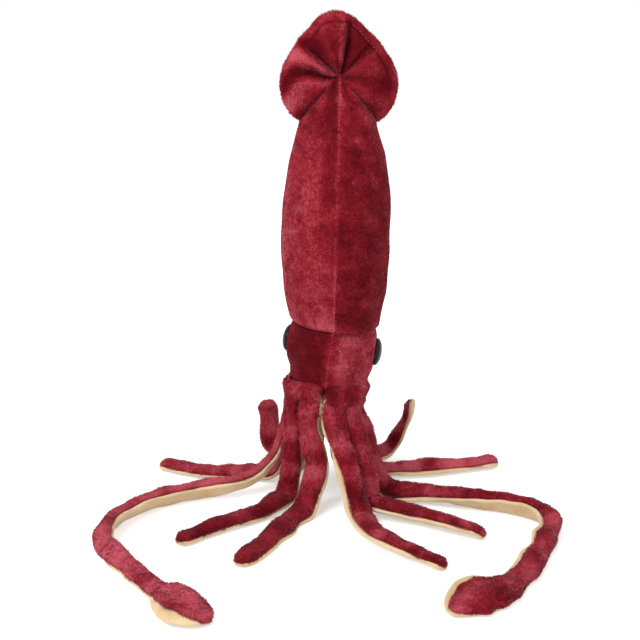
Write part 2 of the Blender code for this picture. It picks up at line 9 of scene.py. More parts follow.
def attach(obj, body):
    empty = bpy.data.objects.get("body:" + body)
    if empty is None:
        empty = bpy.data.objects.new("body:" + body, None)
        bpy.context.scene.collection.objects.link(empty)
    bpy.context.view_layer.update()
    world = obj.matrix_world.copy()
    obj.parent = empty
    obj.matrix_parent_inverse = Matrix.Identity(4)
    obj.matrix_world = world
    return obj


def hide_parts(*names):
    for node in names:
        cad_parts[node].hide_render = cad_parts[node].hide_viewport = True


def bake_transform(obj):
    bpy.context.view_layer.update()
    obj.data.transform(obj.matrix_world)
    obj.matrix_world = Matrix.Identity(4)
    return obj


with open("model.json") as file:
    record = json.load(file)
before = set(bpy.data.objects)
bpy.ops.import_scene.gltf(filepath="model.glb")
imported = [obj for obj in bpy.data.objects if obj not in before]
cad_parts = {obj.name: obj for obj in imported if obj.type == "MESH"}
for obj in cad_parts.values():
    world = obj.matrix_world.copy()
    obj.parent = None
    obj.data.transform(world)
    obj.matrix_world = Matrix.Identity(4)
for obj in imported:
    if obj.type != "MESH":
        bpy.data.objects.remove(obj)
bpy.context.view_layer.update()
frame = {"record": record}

# A stuffed plush squid that stands on its arms: crimson pile cloth, tan suede soles, domed black eyes and
# a pleated fin. The forms follow the CAD part's sizes and routes, with the lumps, seams and folds of filled
# cloth, and a pile of one-triangle blades grows on them. A tone is a step along the plush's colour ramp.

MM = 0.001
JOINTS = {joint["name"]: joint for joint in frame["record"]["behaviour"]["joints"]}

# Fields of lumps: the range of their waves' pitches, and a gain that keeps them to about -1 to 1
WAVE_PITCHES = (0.35, 0.8)
WAVE_GAIN = 0.6

# Pile: the skin lies inside the CAD surface; its blades lean along the nap, with some swirl and noise
SKIN_INSET = 0.7 * MM
PILE_LENGTH = 2.7 * MM
PILE_LENGTHS = (0.65, 1.15)
PILE_WIDTH = 0.46 * MM
PILE_WIDTHS = (0.7, 1.3)
PILE_TWIST = 1.0
PILE_DENSITY = 3.2 / MM ** 2
PILE_ROOT = 0.2 * MM
PILE_LEAN = 0.38
PILE_LEANS = (0.15, 1.3)
LEAN_RUFFLE = 0.28
LEAN_NOISE = 0.2
SWIRL_SIZE = 8 * MM
SWIRL_TURN = 0.7
TURN_NOISE = 0.3
SWIRL_TONE = 0.2
RUFFLE_TONE = 0.1
TONE_NOISE = 0.13
SKIN_FACING = 0.5
BLADE_FACING = 0.6
LEAST_PILE = 0.05

# Limbs, as in the CAD part: sizes, routes in millimetres from the body's axis at the floor, rolls in degrees
AXIS_X = 1.3 * MM
AXIS_Y = 52.5 * MM
LIMB_THICKNESS = 7.5 * MM
HALF = LIMB_THICKNESS / 2
SUEDE = 3 * MM
ROOT_WIDTH = 13 * MM
ROOT_DROP = 10 * MM
ROOT_CAP = 8 * MM
ROOT_ROUNDING = 0.4
ARM_WIDTH = 15 * MM
ARM_OPENING = 60 * MM
ARM_TIP_WIDTH = 13 * MM
ARM_CURL_LENGTH = 46 * MM
ARM_END_RATIO = 0.85
STALK_WIDTH = 13 * MM
CLUB_WIDTH = 25 * MM
CLUB_LENGTH = 56 * MM
CLUB_WIDEST = 0.55
CLUB_END_RATIO = 0.94
BEND_LENGTH = 52 * MM
CURVE_SPACING = 2 * MM
HEADING_STEPS = 3
FLOOR_PASSES = 3
ARMS = {
    "front_left_arm": (((-13.5, -25, 52), (-9, -27, 29), (-13, -32, 15), (-19, -41, 3), (-28, -59, 0),
        (-40, -86, 0), (-54, -113, 0)), (0, 0, 0, 0, 0, 0, 0)),
    "outer_left_arm": (((-25, -14, 45), (-26.5, -14, 18), (-31, -20, 3), (-45, -42, 0), (-68, -60, 0),
        (-93, -83, 0)), (0, 0, 6, 6, 6, 6)),
    "side_left_arm": (((-26, 17, 40), (-33, 20, 12), (-45, 23, 0), (-64, 23, 0), (-89, 29, 0),
        (-116, 42, 0)), (0, 0, 8, 8, 8, 8)),
    "back_left_arm": (((-11, 27, 40), (-13, 32, 12), (-20, 43, 0), (-34, 64, 0), (-41, 74, 6),
        (-42.5, 79, 16), (-43, 80, 27), (-44, 79, 37)), (0, 0, 0, 0, 0, 0, 0, 0)),
    "front_right_arm": (((7, -29, 46), (12, -34, 32), (16, -43, 18), (21, -58, 6), (28, -77, 0),
        (48, -100, 0), (67, -119, 0)), (-10, -20, -26, -24, -18, -18, -18)),
    "outer_right_arm": (((18.5, -17.5, 46), (22, -21.5, 25), (28, -35, 4), (45, -47, 0), (63, -57, 0),
        (95, -77, 0)), (0, 0, -22, -26, -28, -28)),
    "side_right_arm": (((21, 16, 40), (27, 22, 12), (38, 28, 0), (62, 30, 0), (90, 37, 0),
        (116, 46, 0)), (0, 0, -12, -12, -12, -12)),
    "back_right_arm": (((8, 26, 40), (10, 31, 12), (17, 43, 0), (28, 57, 0), (41, 63, 6), (50, 65, 18),
        (55, 65, 31), (56.5, 65, 42)), (0, 0, 0, 0, -5, -10, -14, -15)),
}
TENTACLES = {
    "left_tentacle": (((-31, 2.5, 46), (-35.5, 2, 30), (-42.5, 0, 19), (-53, -5, 12), (-69, -11, 9),
        (-87, -16, 8), (-110, -27, 0), (-128, -47, 0), (-138, -72, 0), (-136, -97, 0),
        (-122, -119, 0), (-104, -142, 0), (-88, -162, 0), (-68, -188, 0)),
        (0, 12, 30, 42, 48, 50, 50, 52, 58, 46, 26, 4, -14, -18)),
    "right_tentacle": (((27, -1, 40), (30, -1, 22), (37, -4, 6), (46, -10, 0), (60, -15, 0), (79, -24, 0),
        (98, -32, 0), (115, -38, 0), (131, -50, 0), (136, -69, 0), (130, -93, 0),
        (121, -114, 0), (110, -135, 0), (96, -153, 0), (66, -174, 0)),
        (0, 0, 0, 0, -12, -28, -42, -50, -55, -55, -45, -30, -18, -12, -12)),
}

# Limbs' stretches: rows along them, and where neighbours meet, short of a joint
ROW_PITCH = 1.6 * MM
LEAST_ROWS = 4
TIP_ROWS = (4.0, 3.0, 2.1, 1.3, 0.7, 0.25, 0.0)
TIP_ROW_GAP = 0.5 * MM
STEADY_REACH = 20 * MM
PIECE_OVERLAP = 10 * MM
PIECE_SHIFT = 0.05 * MM
WOBBLE = 7.0
FLOOR_SKIM = 0.1 * MM

# Limbs' plush: an arch over the sole that rises above its plain height, with lumps, and folds on the clubs
ARCH_STEPS = 16
ARCH_SIDES = 0.85
ARCH_TOP = 0.7
ARCH_LEAST = 0.3 * MM
ARCH_TUCK = 0.4 * MM
SIDE_LUMPS = 0.08
SIDE_RIPPLES = 0.11
TOP_LUMPS = 0.12
TOP_RIPPLES = 0.26
SIDE_INSET = 0.4 * SKIN_INSET
TIP_ROUND = 4 * MM
LIMB_PILE = 0.85
ARM_LOFT = 1.8 * MM
ARM_LOFT_FADE = 45 * MM
LOFT = {"outer_right_arm": 3.6 * MM, "side_right_arm": 2.6 * MM,
        "left_tentacle": 2.8 * MM, "right_tentacle": 4.2 * MM}
LOFT_FADE = 30 * MM
BEND_FADE = 25 * MM
ROOT_TUCK = 2.2 * MM
ROOT_TUCK_REACH = 45 * MM
# How far the plush of neighbouring arms spreads at the root, to the limb's left and right, and how far down
ROOT_SPREAD = {
    "outer_left_arm": (0.8 * MM, 0.0), "front_left_arm": (0.0, 0.8 * MM),
    "front_right_arm": (1.6 * MM, 0.0), "outer_right_arm": (0.0, 1.6 * MM),
}
SPREAD_REACH = 42 * MM
CLUB_PLUMP = 0.1
CLUB_CROWN = 1.2 * MM
CLUB_FOLD = 2.4 * MM
FOLDS_ACROSS = 3.6
FOLD_SWAY = 1.1
FOLD_SWAY_LENGTH = 9 * MM
SCALLOP = 0.9 * MM
SCALLOP_LENGTH = 2.2 * MM
# Painted light and shade on the limbs: how much lighter or darker each limb is painted, painted light on the
# arch's top and higher up, a ripple mottle, and painted shade in the clubs' fold valleys with painted light
# on their ridges
LIMB_TONE = {"left_tentacle": 0.44, "right_tentacle": 0.06, "side_right_arm": 0.46, "side_left_arm": 0.2,
             "back_left_arm": 0.14, "back_right_arm": 0.2, "outer_left_arm": -0.14}
PLAIN_TONE = -0.04
TONE_REACH = 60 * MM
PAINTED_TOP_LIGHT = 0.05
PAINTED_HEIGHT_LIGHT = 0.16
TONE_HEIGHT = 45 * MM
RIPPLE_TONE = 0.2
PAINTED_FOLD_SHADING = 0.26
FOLD_TONE_MIDDLE = 0.1

# Limbs' soles: rounded strips that show beside the plush, to its left and right, and widen round the clubs
SOLE_SIDES = 0.35
SOLE_FACES = 0.6
SOLE_PLAY = 0.05 * MM
SOLE_INSET = 0.1 * MM
SOLE_SPREAD = 0.9 * MM
SOLE_WAVE = 0.13
SOLE_CREASE = 0.6 * MM
SOLE_CAP = 4 * MM
SOLE_TIP_ROUND = 1.5 * MM
SOLE_ROOT_ROUND = 2 * MM
SOLE_SHOW = {"front_right_arm": (0.0, 2.2 * MM), "front_left_arm": (1.2 * MM, 0.0),
             "outer_right_arm": (0.0, 1.4 * MM), "side_right_arm": (0.0, 0.9 * MM),
             "right_tentacle": (0.0, 2.4 * MM)}
SHOW_START = 25 * MM
SHOW_RISE = 20 * MM
SHOW_FALL = 30 * MM
CLUB_FLANGE = {"left_tentacle": (0.5 * MM, 5.5 * MM), "right_tentacle": (-0.8 * MM, 2.6 * MM)}
CLUB_CURL = {"left_tentacle": -5.5 * MM, "right_tentacle": 4.5 * MM}
FLANGE_LEAD = 2 * MM
FLANGE_RISE = 46 * MM
FLANGE_FALL = 14 * MM
FLANGE_EVEN = 0.85
# How far a sole reaches past the plush at the limb's end
SOLE_TIP = {"back_left_arm": 0.0, "left_tentacle": 0.0, "right_tentacle": 1.8 * MM}
ARM_SOLE_TIP = 1.2 * MM

# Lumps and seams of the mantle and the head, with painted side light and a painted highlight along the seam
# ridge
LUMP_FLOOR = -0.5 * MM
LUMP_FADE = 20 * MM
RIPPLE_SHARE = 0.35
SEAM_RISE = 0.5 * MM
SEAM_WIDTH = 1.3 * MM
SEAM_TONE = 0.2
SIDE_LIGHT = 0.3
SIDE_LIGHT_WIDTH = 0.34

# Head, eyes and the crown of plush over the limbs' roots; heights are from the ring of the roots
EYE_RADIUS = 9 * MM
EYE_DOME = 4 * MM
EYE_RIM = 0.8 * MM
EYE_BEVEL = 0.5 * MM
EYE_GAP = 0.7 * MM
EYE_SEAT = 0.1 * MM
SOCKET_SLOPE = 10 * MM
EYE_HEIGHT = 31 * MM
EYE_ANGLE = math.radians(95.0)
EYE_TURN = math.radians(-4.0)
CROWN_BASE = HALF + 0.6 * MM
CROWN_HEIGHT = 8 * MM
CROWN_RADIUS = 26.8 * MM
CROWN_FRONT_RADIUS = 30.4 * MM
CROWN_FRONT = 0.3
CROWN_ROUND = 6 * MM
CROWN_TURN = (-0.5 * math.pi, 0.62 * math.pi)
CROWN_MIDDLE = 0.45
CROWN_SAG = 3.2 * MM
CROWN_WAVE = 1.2 * MM
CROWN_LOBES = 10
CROWN_LOBE_LEFT = 0.9 * MM
CROWN_LOBE_RIGHT = 0.315 * MM
CROWN_SPLIT_WIDTH = math.radians(5.0)
CROWN_SPLIT_DEPTH = 9 * MM
CROWN_BUNCH = 0.4 * MM
CROWN_BUNCH_ANGLE = math.radians(280.0)
CROWN_BUNCH_WIDTH = 0.6
CROWN_BUNCH_SAG = 1.5
CROWN_HOLE = (1 * MM, 12 * MM)
CROWN_BARE = 20 * MM
CROWN_PILE = 0.9
CROWN_MOTTLE = 0.12
CROWN_COLUMNS = 180
HEAD_BASE = CROWN_BASE + CROWN_HEIGHT
HEAD_RADIUS = 27.2 * MM
HEAD_BASE_RADIUS = 26 * MM
HEAD_LENGTH = 28 * MM
HEAD_DOME = 20 * MM
HEAD_TUCK = 2 * MM
HEAD_SWELL = 1.4
HEAD_LUMP = 0.45 * MM
HEAD_PILE = (0.66, 0.1)
HEAD_SEAM_FADE = 4 * MM
HEAD_SEAM_TONE = 0.7
# Side, sign along x, tone (painted sheen: the left panel darker, the right lighter), seed of the pile
HEAD_SIDES = (("left", -1, -0.38, 13), ("right", 1, 0.25, 14))

# Mantle; heights are from the neck
LIP_HEIGHT = 6.5 * MM
LIP_OVERHANG = 2 * MM
LIP_ROUND = 3 * MM
LIP_STEPS = 8
LIP_TILT = 0.12
LIP_WAVE = 0.6 * MM
LIP_REACH = 40 * MM
LIP_FADE = 1.5
HEM_INSET = 0.4 * MM
HEM_HEIGHT = 8 * MM
MANTLE_LENGTH = 159 * MM
MANTLE_TOP = LIP_HEIGHT + MANTLE_LENGTH
MANTLE_RADIUS = 35 * MM
MANTLE_TAPER = 2.2
MANTLE_LUMP = 0.9 * MM
MANTLE_PILE = (0.7, 0.15)
WIDEST_HEIGHT = 64 * MM
SHOULDER_RADIUS = 25 * MM
SHOULDER_DROP = 32 * MM
SHOULDER_HEIGHT = MANTLE_TOP - SHOULDER_DROP
TIP_RADIUS = 3.2 * MM
TIP_TAPER = 1.35
TIP_POINT = 0.3 * MM
TIP_FOLDS = 8
TIP_GATHER = 0.22
TIP_GATHER_REACH = 9 * MM
# Painted light and shade on the mantle: across the gathered tip's folds, painted shade along the seam's upper
# part, and a painted highlight round the lip's rim
TIP_GATHER_SHADE = 0.5
SEAM_SHADE_WIDTH = 9 * MM
SEAM_SHADE_START = 0.6
LIP_RIM_PAINTED_LIGHT = 0.14
# Side, sign along x, tone (painted sheen: the left panel lighter, the right darker), painted shade along the
# seam, painted light and shade of the shoulder, seed of the pile
MANTLE_SIDES = (("left", -1, 0.18, 0.3, -0.2, 11), ("right", 1, -0.14, 0.0, 0.15, 12))
FILLING_INSET = 3 * MM
FILLING_DROP = 15 * MM
FILLING_RISE = 26 * MM

# Fin: its outline from the gather as shares of its reach, rise and drop, and its relief
FIN_REACH = 36.5 * MM
FIN_RISE = 40 * MM
FIN_DROP = 28 * MM
FIN_UPPER_EDGE = ((0.0, 1.0), (0.25, 0.93), (0.5, 0.7), (0.78, 0.4), (0.96, 0.1))
FIN_LOWER_EDGE = ((1.0, 0.2), (0.94, 0.55), (0.8, 0.85), (0.62, 1.0))
FIN_NOTCH = math.radians(141.0)
NOTCH_FADE = math.radians(9.0)
NOTCH_ROUNDING = 0.6
ROW_CROWDING = 0.9
FIN_LEAN = -3 * MM
FIN_EDGE = 1.2 * MM
FIN_LEAST = 0.05 * MM
FIN_PUFF = 9.5 * MM
FIN_ROUNDING = 0.7
FIN_GATHER = 11 * MM
FIN_RIM = 10 * MM
BAND_RIM = 4 * MM
FIN_BAND = 5.5 * MM
# The sewn band round the rim fades out to the left of these degrees from straight up
BAND_START = -55.0
BAND_RAMP = 30.0
BAND_SEAM_WIDTH = 0.8 * MM
BAND_SEAM_DEPTH = 1.4 * MM
FIN_CLOTH = 1.2 * MM
FIN_CORE = 0.96
FIN_CORE_LEAST = 0.02 * MM
FIN_PILE = 0.66
# Painted light and shade on the fin: the whole fin darker, its right side darker and its left lighter,
# painted shade in the pleats' valleys with painted light on their crests, and painted shade in the band's
# seam groove; it is also lighter where the rim has no band and along the band
FIN_SHADE = -0.18
FIN_SIDE_SHADE = 0.07
BARE_RIM_TONE = 0.1
BAND_TONE = 0.2
BAND_SEAM_SHADE = 0.35
PLEAT_TONES = (1.35, -0.35)
PLEAT_TONE_MIDDLE = 0.72
PLEAT_ROUNDING = 0.7
PLEAT_MIDDLE = 0.6
PLEAT_RUNOUT = (0.4, 1.2)
PLEAT_FADE = 0.8
# The front's left crease bows and then sweeps as it runs out from the gather
FIN_BOW = math.radians(18.0)
FIN_SWEEP = math.radians(13.0)
FIN_BOW_ANGLE = math.radians(-94.0)
FIN_BOW_WIDTH = math.radians(26.0)
FIN_BOW_START = 0.15
# Heights of the fin's pleats round the gather: degrees from straight up, share of the puff
FRONT_PLEATS = (
    (-141, 0.3), (-126, 0.75), (-112, 0.9), (-98, 0.12), (-84, 0.4), (-66, 1.0), (-57, 0.85), (-47, 0.05),
    (-34, 0.35), (-18, 0.85), (-8, 0.7), (4, 0.8), (9, 1.0), (11.5, 0.0), (26, 0.4), (38, 0.5), (44, 0.2),
    (54, 1.0), (72, 0.9), (95, 0.5), (116, 0.9), (130, 0.75), (141, 0.2))
BACK_PLEATS = ((-141, 0.4), (-115, 0.85), (-95, 0.45), (-70, 0.9), (-45, 0.4), (-18, 0.85), (0, 0.7),
               (18, 0.85), (45, 0.4), (70, 0.9), (95, 0.45), (115, 0.85), (141, 0.4))
# Side, sign along y, pleats, their depth, seed of the pile
FIN_SIDES = (("front", -1, FRONT_PLEATS, 1.0, 16), ("back", 1, BACK_PLEATS, 0.7, 17))

# Stitches
STITCH_PITCH = 2.6 * MM
STITCH_LENGTH = 1.9 * MM
STITCH_RADIUS = 0.28 * MM
STITCH_HEIGHT = 0.85 * MM
STITCH_DIP = 2.2
STITCH_TAPER = 0.9
STITCH_MARGIN = 3 * MM
STITCHED_LENGTH = 34 * MM
FIN_STITCHED = (math.radians(13.0), math.radians(62.0))
FIN_STITCH_SHIFT = 1.3 * MM

# Colours along the ramps of the looks
PLUSH_COLOURS = ((0.05, (0.10, 0.0015, 0.005)), (0.5, (0.26, 0.011, 0.021)), (0.95, (0.50, 0.086, 0.116)))
SUEDE_COLOURS = ((0.3, (0.56, 0.39, 0.21)), (0.52, (0.68, 0.50, 0.29)), (0.75, (0.76, 0.60, 0.39)))
EYE_COLOURS = ((0.3, (0.004, 0.0045, 0.005)), (0.7, (0.012, 0.013, 0.014)))
THREAD_COLOURS = ((0.35, (0.24, 0.018, 0.028)), (0.65, (0.40, 0.07, 0.09)))
FIBRE_COLOURS = ((0.3, (0.75, 0.75, 0.73)), (0.7, (0.9, 0.9, 0.88)))
NYLON_COLOURS = ((0.3, (0.74, 0.74, 0.72)), (0.7, (0.82, 0.82, 0.8)))

# Stage
WHITE = (1.0, 1.0, 1.0, 1.0)
LENS = 81.75
SENSOR = 36.0
CAMERA_PLACE = (-5.15 * MM, -847.5 * MM, 382.03 * MM)
CAMERA_DIP = 16.232
FLOOR_SIZE = 3.0
FLOOR_COLOUR = (0.9, 0.9, 0.9, 1.0)
FLOOR_GLOW = 0.45
SKY_STRENGTH = 0.7
LAMP_TARGET = Vector((0, 0, 0.15))
# Name, place, power, width
LAMPS = (("key", (-0.9, -1.1, 1.5), 28.0, 0.9), ("fill", (1.3, -0.9, 0.9), 5.0, 1.2))


def joint_place(name):
    return Vector(JOINTS[name]["pos_m"])


def clamp(values, low=0, high=1):
    return np.clip(values, low, high)


def bell(values):
    """A smooth bump: one at nought, almost nought from two on."""
    return np.exp(-values ** 2)


def ease(values):
    """A smooth step from nought to one."""
    share = clamp(values)
    return share ** 2 * (3 - 2 * share)


def swing(values):
    """A step from nought to one along half a cosine wave."""
    return 0.5 - 0.5 * np.cos(math.pi * clamp(values))


def quarter_sine(values):
    return np.sin(clamp(values) * math.pi / 2)


def signed_power(values, power):
    return np.sign(values) * np.abs(values) ** power


def around(count):
    return np.linspace(0, 2 * math.pi, count + 1)[:-1]


def unit(vectors):
    return vectors / np.maximum(np.linalg.norm(vectors, axis=-1, keepdims=True), 1e-12)


def rotate(first, second, angle):
    """Two directions turned in their plane, the first towards the second."""
    cos, sin = np.cos(angle), np.sin(angle)
    return first * cos + second * sin, second * cos - first * sin


def soften(values, reach):
    """A running mean over a row of values, with its ends held."""
    padded = np.concatenate([values[:1].repeat(reach), values, values[-1:].repeat(reach)])
    size = 2 * reach + 1
    return np.convolve(padded, np.ones(size) / size, "valid")


def at_runs(spots, runs, rows):
    """Rows of three numbers, given at runs along a path, at other spots along it."""
    return np.stack([np.interp(spots, runs, rows[:, k]) for k in range(3)], axis=-1)


def wave_field(seed, size, count=9):
    """A smooth pseudo-random field of about -1 to 1 over points, with features of the given size."""
    rng = np.random.default_rng(seed)
    ways = rng.normal(size=(count, 3))
    pitches = (2 * math.pi / size) * rng.uniform(*WAVE_PITCHES, (count, 1))
    ways *= pitches / np.linalg.norm(ways, axis=1)[:, None]
    phases = rng.uniform(0, 2 * math.pi, count)

    def field(points):
        waves = np.sin(points.reshape(-1, 3) @ ways.T + phases)
        return (waves.sum(axis=1) * math.sqrt(2 / count) * WAVE_GAIN).reshape(points.shape[:-1])
    return field


SWIRL = wave_field(seed=3, size=SWIRL_SIZE)
RUFFLE = wave_field(seed=4, size=SWIRL_SIZE * 0.7)
LUMPS = wave_field(seed=5, size=26 * MM)
RIPPLES = wave_field(seed=6, size=11 * MM)


class Skin:
    """A surface of quads with its nap, pile length and tone at every point."""

    def __init__(self):
        self.points, self.faces, self.uvs = [], [], []
        self.nap, self.pile, self.tone = [], [], []
        self.count = 0

    def add_grid(self, points, nap=(0.0, 0.0, 0.0), pile=0.0, tone=0.0, wrap=False):
        """Rows by columns of points; the nap is one direction for each point, pile and tone one number."""
        rows, columns = points.shape[:2]
        index = self.count + np.arange(rows * columns).reshape(rows, columns)
        if wrap:
            index = np.concatenate([index, index[:, :1]], axis=1)
        quads = np.stack([index[:-1, :-1], index[:-1, 1:], index[1:, 1:], index[1:, :-1]], axis=-1)
        self.faces.append(quads.reshape(-1, 4))
        v, u = np.meshgrid(np.linspace(0.01, 0.99, rows), np.linspace(0.01, 0.99, columns), indexing="ij")
        self.uvs.append(np.stack([u, v], axis=-1).reshape(-1, 2))
        self.points.append(points.reshape(-1, 3))
        self.nap.append(np.broadcast_to(nap, points.shape).reshape(-1, 3))
        self.pile.append(np.broadcast_to(pile, (rows, columns)).reshape(-1))
        self.tone.append(np.broadcast_to(tone, (rows, columns)).reshape(-1))
        self.count += rows * columns

    def close(self):
        """Join the grids, and work out the triangles, their areas and the points' normals."""
        for label in ("points", "faces", "uvs", "nap", "pile", "tone"):
            setattr(self, label, np.concatenate(getattr(self, label)))
        self.triangles = np.concatenate([self.faces[:, [0, 1, 2]], self.faces[:, [0, 2, 3]]])
        corners = self.points[self.triangles]
        cross = np.cross(corners[:, 1] - corners[:, 0], corners[:, 2] - corners[:, 0])
        normals = np.zeros_like(self.points)
        for k in range(3):
            np.add.at(normals, self.triangles[:, k], cross)
        self.normals = unit(normals)
        self.areas = np.linalg.norm(cross, axis=1) / 2


def grow_blades(skin, seed):
    """Leaning pile blades, one triangle each: their corners' points, normals, uv, tone and height share."""
    rng = np.random.default_rng(seed)
    weight = skin.areas * (skin.pile[skin.triangles].min(axis=1) > LEAST_PILE)
    total = int(weight.sum() * PILE_DENSITY)
    chosen = np.searchsorted(np.cumsum(weight), rng.random(total) * weight.sum())
    share = rng.dirichlet((1, 1, 1), total)[:, :, None]
    corners = skin.triangles[np.minimum(chosen, len(weight) - 1)]

    def spread(values):
        return (values[corners] * share).sum(axis=1)

    place, up, flow = spread(skin.points), unit(spread(skin.normals)), spread(skin.nap)
    swirl, ruffle = SWIRL(place), RUFFLE(place)
    flow = unit(flow - up * (flow * up).sum(axis=1, keepdims=True))
    turn = SWIRL_TURN * swirl + rng.normal(0, TURN_NOISE, total)
    flow, across = rotate(flow, np.cross(up, flow), turn[:, None])
    lean = (PILE_LEAN + LEAN_RUFFLE * ruffle + rng.normal(0, LEAN_NOISE, total)).clip(*PILE_LEANS)
    blade, facing = rotate(flow, up, lean[:, None])
    side = rotate(across, facing, rng.uniform(-PILE_TWIST, PILE_TWIST, (total, 1)))[0]
    length = PILE_LENGTH * spread(skin.pile[:, None]) * rng.uniform(*PILE_LENGTHS, (total, 1))
    width = PILE_WIDTH / 2 * rng.uniform(*PILE_WIDTHS, (total, 1))
    root = place - up * PILE_ROOT
    points = np.stack([root + side * width, root - side * width, root + blade * length], axis=1)
    flat = unit(np.cross(points[:, 1] - points[:, 0], points[:, 2] - points[:, 0]))
    wrong = (flat * up).sum(axis=1) < 0
    points[wrong] = points[wrong][:, [1, 0, 2]]
    flat[wrong] *= -1
    normals = unit(SKIN_FACING * up + BLADE_FACING * flat)
    tone = spread(skin.tone[:, None])[:, 0] + SWIRL_TONE * swirl + RUFFLE_TONE * ruffle
    tone = tone + rng.normal(0, TONE_NOISE, total)
    shared = [values.repeat(3, axis=0) for values in (normals, spread(skin.uvs), tone)]
    return points.reshape(-1, 3), *shared, np.tile([0.0, 0.0, 1.0], total)


def add_object(name, data):
    added = bpy.data.objects.new(name, data)
    bpy.context.scene.collection.objects.link(added)
    return added


def make_piece(name, skin, material, seed=None):
    """One mesh object from a skin, with its pile where a seed is given."""
    skin.close()
    corners = [skin.points, skin.normals, skin.uvs, skin.tone, np.zeros(skin.count)]
    loops, sizes = skin.faces.reshape(-1), np.full(len(skin.faces), 4)
    if seed is not None:
        corners = [np.concatenate(pair) for pair in zip(corners, grow_blades(skin, seed))]
        blades = np.arange(skin.count, len(corners[0]))
        loops = np.concatenate([loops, blades])
        sizes = np.concatenate([sizes, np.full(len(blades) // 3, 3)])
    points, normals, uvs, tone, tips = corners
    mesh = bpy.data.meshes.new(name)
    mesh.vertices.add(len(points))
    mesh.vertices.foreach_set("co", points.astype(np.float32).ravel())
    mesh.loops.add(len(loops))
    mesh.loops.foreach_set("vertex_index", loops.astype(np.int32))
    mesh.polygons.add(len(sizes))
    mesh.polygons.foreach_set("loop_start", np.concatenate([[0], np.cumsum(sizes)[:-1]]).astype(np.int32))
    mesh.update(calc_edges=True)
    for label, values in (("tone", tone), ("tips", tips)):
        mesh.attributes.new(label, "FLOAT", "POINT").data.foreach_set("value", values.astype(np.float32))
    layer = mesh.uv_layers.new(name="OFBake")
    layer.data.foreach_set("uv", uvs[loops].astype(np.float32).ravel())
    mesh.shade_smooth()
    mesh.normals_split_custom_set_from_vertices(normals.tolist())
    mesh.materials.append(material)
    return add_object(name, mesh)


def put_piece(name, skin, material, body, node=None, seed=None):
    """A piece that rides on one body, in place of a CAD node where one is named."""
    piece = make_piece(name, skin, material, seed)
    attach(piece, body)
    if node is not None:
        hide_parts(node)


def set_inputs(node, **inputs):
    for label, value in inputs.items():
        node.inputs[label.replace("_", " ")].default_value = value


class NodeTree:
    """The nodes of a material or of the world, with short ways to add and link them."""

    def __init__(self, owner):
        owner.use_nodes = True
        self.nodes, self.links = owner.node_tree.nodes, owner.node_tree.links

    def add(self, kind, **inputs):
        node = self.nodes.new("ShaderNode" + kind)
        set_inputs(node, **inputs)
        return node

    def link(self, output, node, socket):
        self.links.new(output, node.inputs[socket])

    def maths(self, operation, *values):
        node = self.add("Math")
        node.operation = operation
        for socket, value in enumerate(values):
            if isinstance(value, float):
                node.inputs[socket].default_value = value
            else:
                self.link(value, node, socket)
        return node.outputs[0]

    def weigh(self, first, *others):
        """The sum of outputs, each times its weight."""
        total = self.maths("MULTIPLY", *first)
        for other in others:
            total = self.maths("ADD", total, self.maths("MULTIPLY", *other))
        return total

    def noise(self, scale, detail):
        texture = self.add("TexNoise", Scale=scale, Detail=detail)
        self.link(self.add("TexCoord").outputs["Object"], texture, "Vector")
        return texture.outputs["Fac"]

    def attribute(self, name):
        node = self.add("Attribute")
        node.attribute_name = name
        return node.outputs["Fac"]

    def ramp(self, factor, stops):
        node = self.add("ValToRGB")
        elements = node.color_ramp.elements
        while len(elements) < len(stops):
            elements.new(0.5)
        for element, (position, colour) in zip(elements, stops):
            element.position = position
            element.color = (*colour, 1.0)
        self.link(factor, node, "Fac")
        return node.outputs["Color"]

    def bump(self, height, strength, distance):
        node = self.add("Bump", Strength=strength, Distance=distance)
        self.link(height, node, "Height")
        return node

    def seen_directly(self):
        """One for rays from the camera and for those mirrored or let through, nought for the others."""
        rays = self.add("LightPath").outputs
        mirrored = self.maths("MAXIMUM", rays["Is Camera Ray"], rays["Is Glossy Ray"])
        return self.maths("MAXIMUM", mirrored, rays["Is Transmission Ray"])


def add_shader(name, **inputs):
    material = bpy.data.materials.new(name)
    tree = NodeTree(material)
    shader = tree.nodes["Principled BSDF"]
    set_inputs(shader, **inputs)
    return material, tree, shader


def plush_material():
    """Crimson pile: mottled in patches, with painted shade at the roots, and a rosy sheen."""
    material, tree, shader = add_shader(
        "plush_look", Roughness=0.75, Specular_IOR_Level=0.06, Sheen_Weight=0.6, Sheen_Roughness=0.35,
        Sheen_Tint=(1.0, 0.27, 0.34, 1.0))
    patches, flecks = tree.noise(scale=95.0, detail=3.0), tree.noise(scale=420.0, detail=2.0)
    tone, tips = tree.attribute("tone"), tree.attribute("tips")
    # The tips share lifts the tone towards the blades' tips: painted shade at their roots and on the skin
    # between them
    shade = tree.weigh((patches, 0.7), (flecks, 0.5), (tone, 1.0), (tips, 0.26))
    shade = tree.maths("SUBTRACT", shade, 0.25)
    tree.link(tree.ramp(shade, PLUSH_COLOURS), shader, "Base Color")
    return material


def suede_material():
    """Tan suede: a soft two-scale mottle with a fine nap."""
    material, tree, shader = add_shader(
        "suede_look", Roughness=0.85, Specular_IOR_Level=0.2, Sheen_Weight=0.25,
        Sheen_Tint=(1.0, 0.93, 0.82, 1.0))
    grain = tree.noise(scale=1500.0, detail=3.0)
    shade = tree.weigh((tree.noise(scale=60.0, detail=4.0), 0.8), (grain, 0.2))
    tree.link(tree.ramp(shade, SUEDE_COLOURS), shader, "Base Color")
    wrinkles = tree.bump(tree.noise(scale=130.0, detail=1.0), strength=0.5, distance=2.5 * MM)
    nap = tree.bump(grain, strength=0.25, distance=0.3 * MM)
    tree.link(wrinkles.outputs["Normal"], nap, "Normal")
    tree.link(nap.outputs["Normal"], shader, "Normal")
    return material


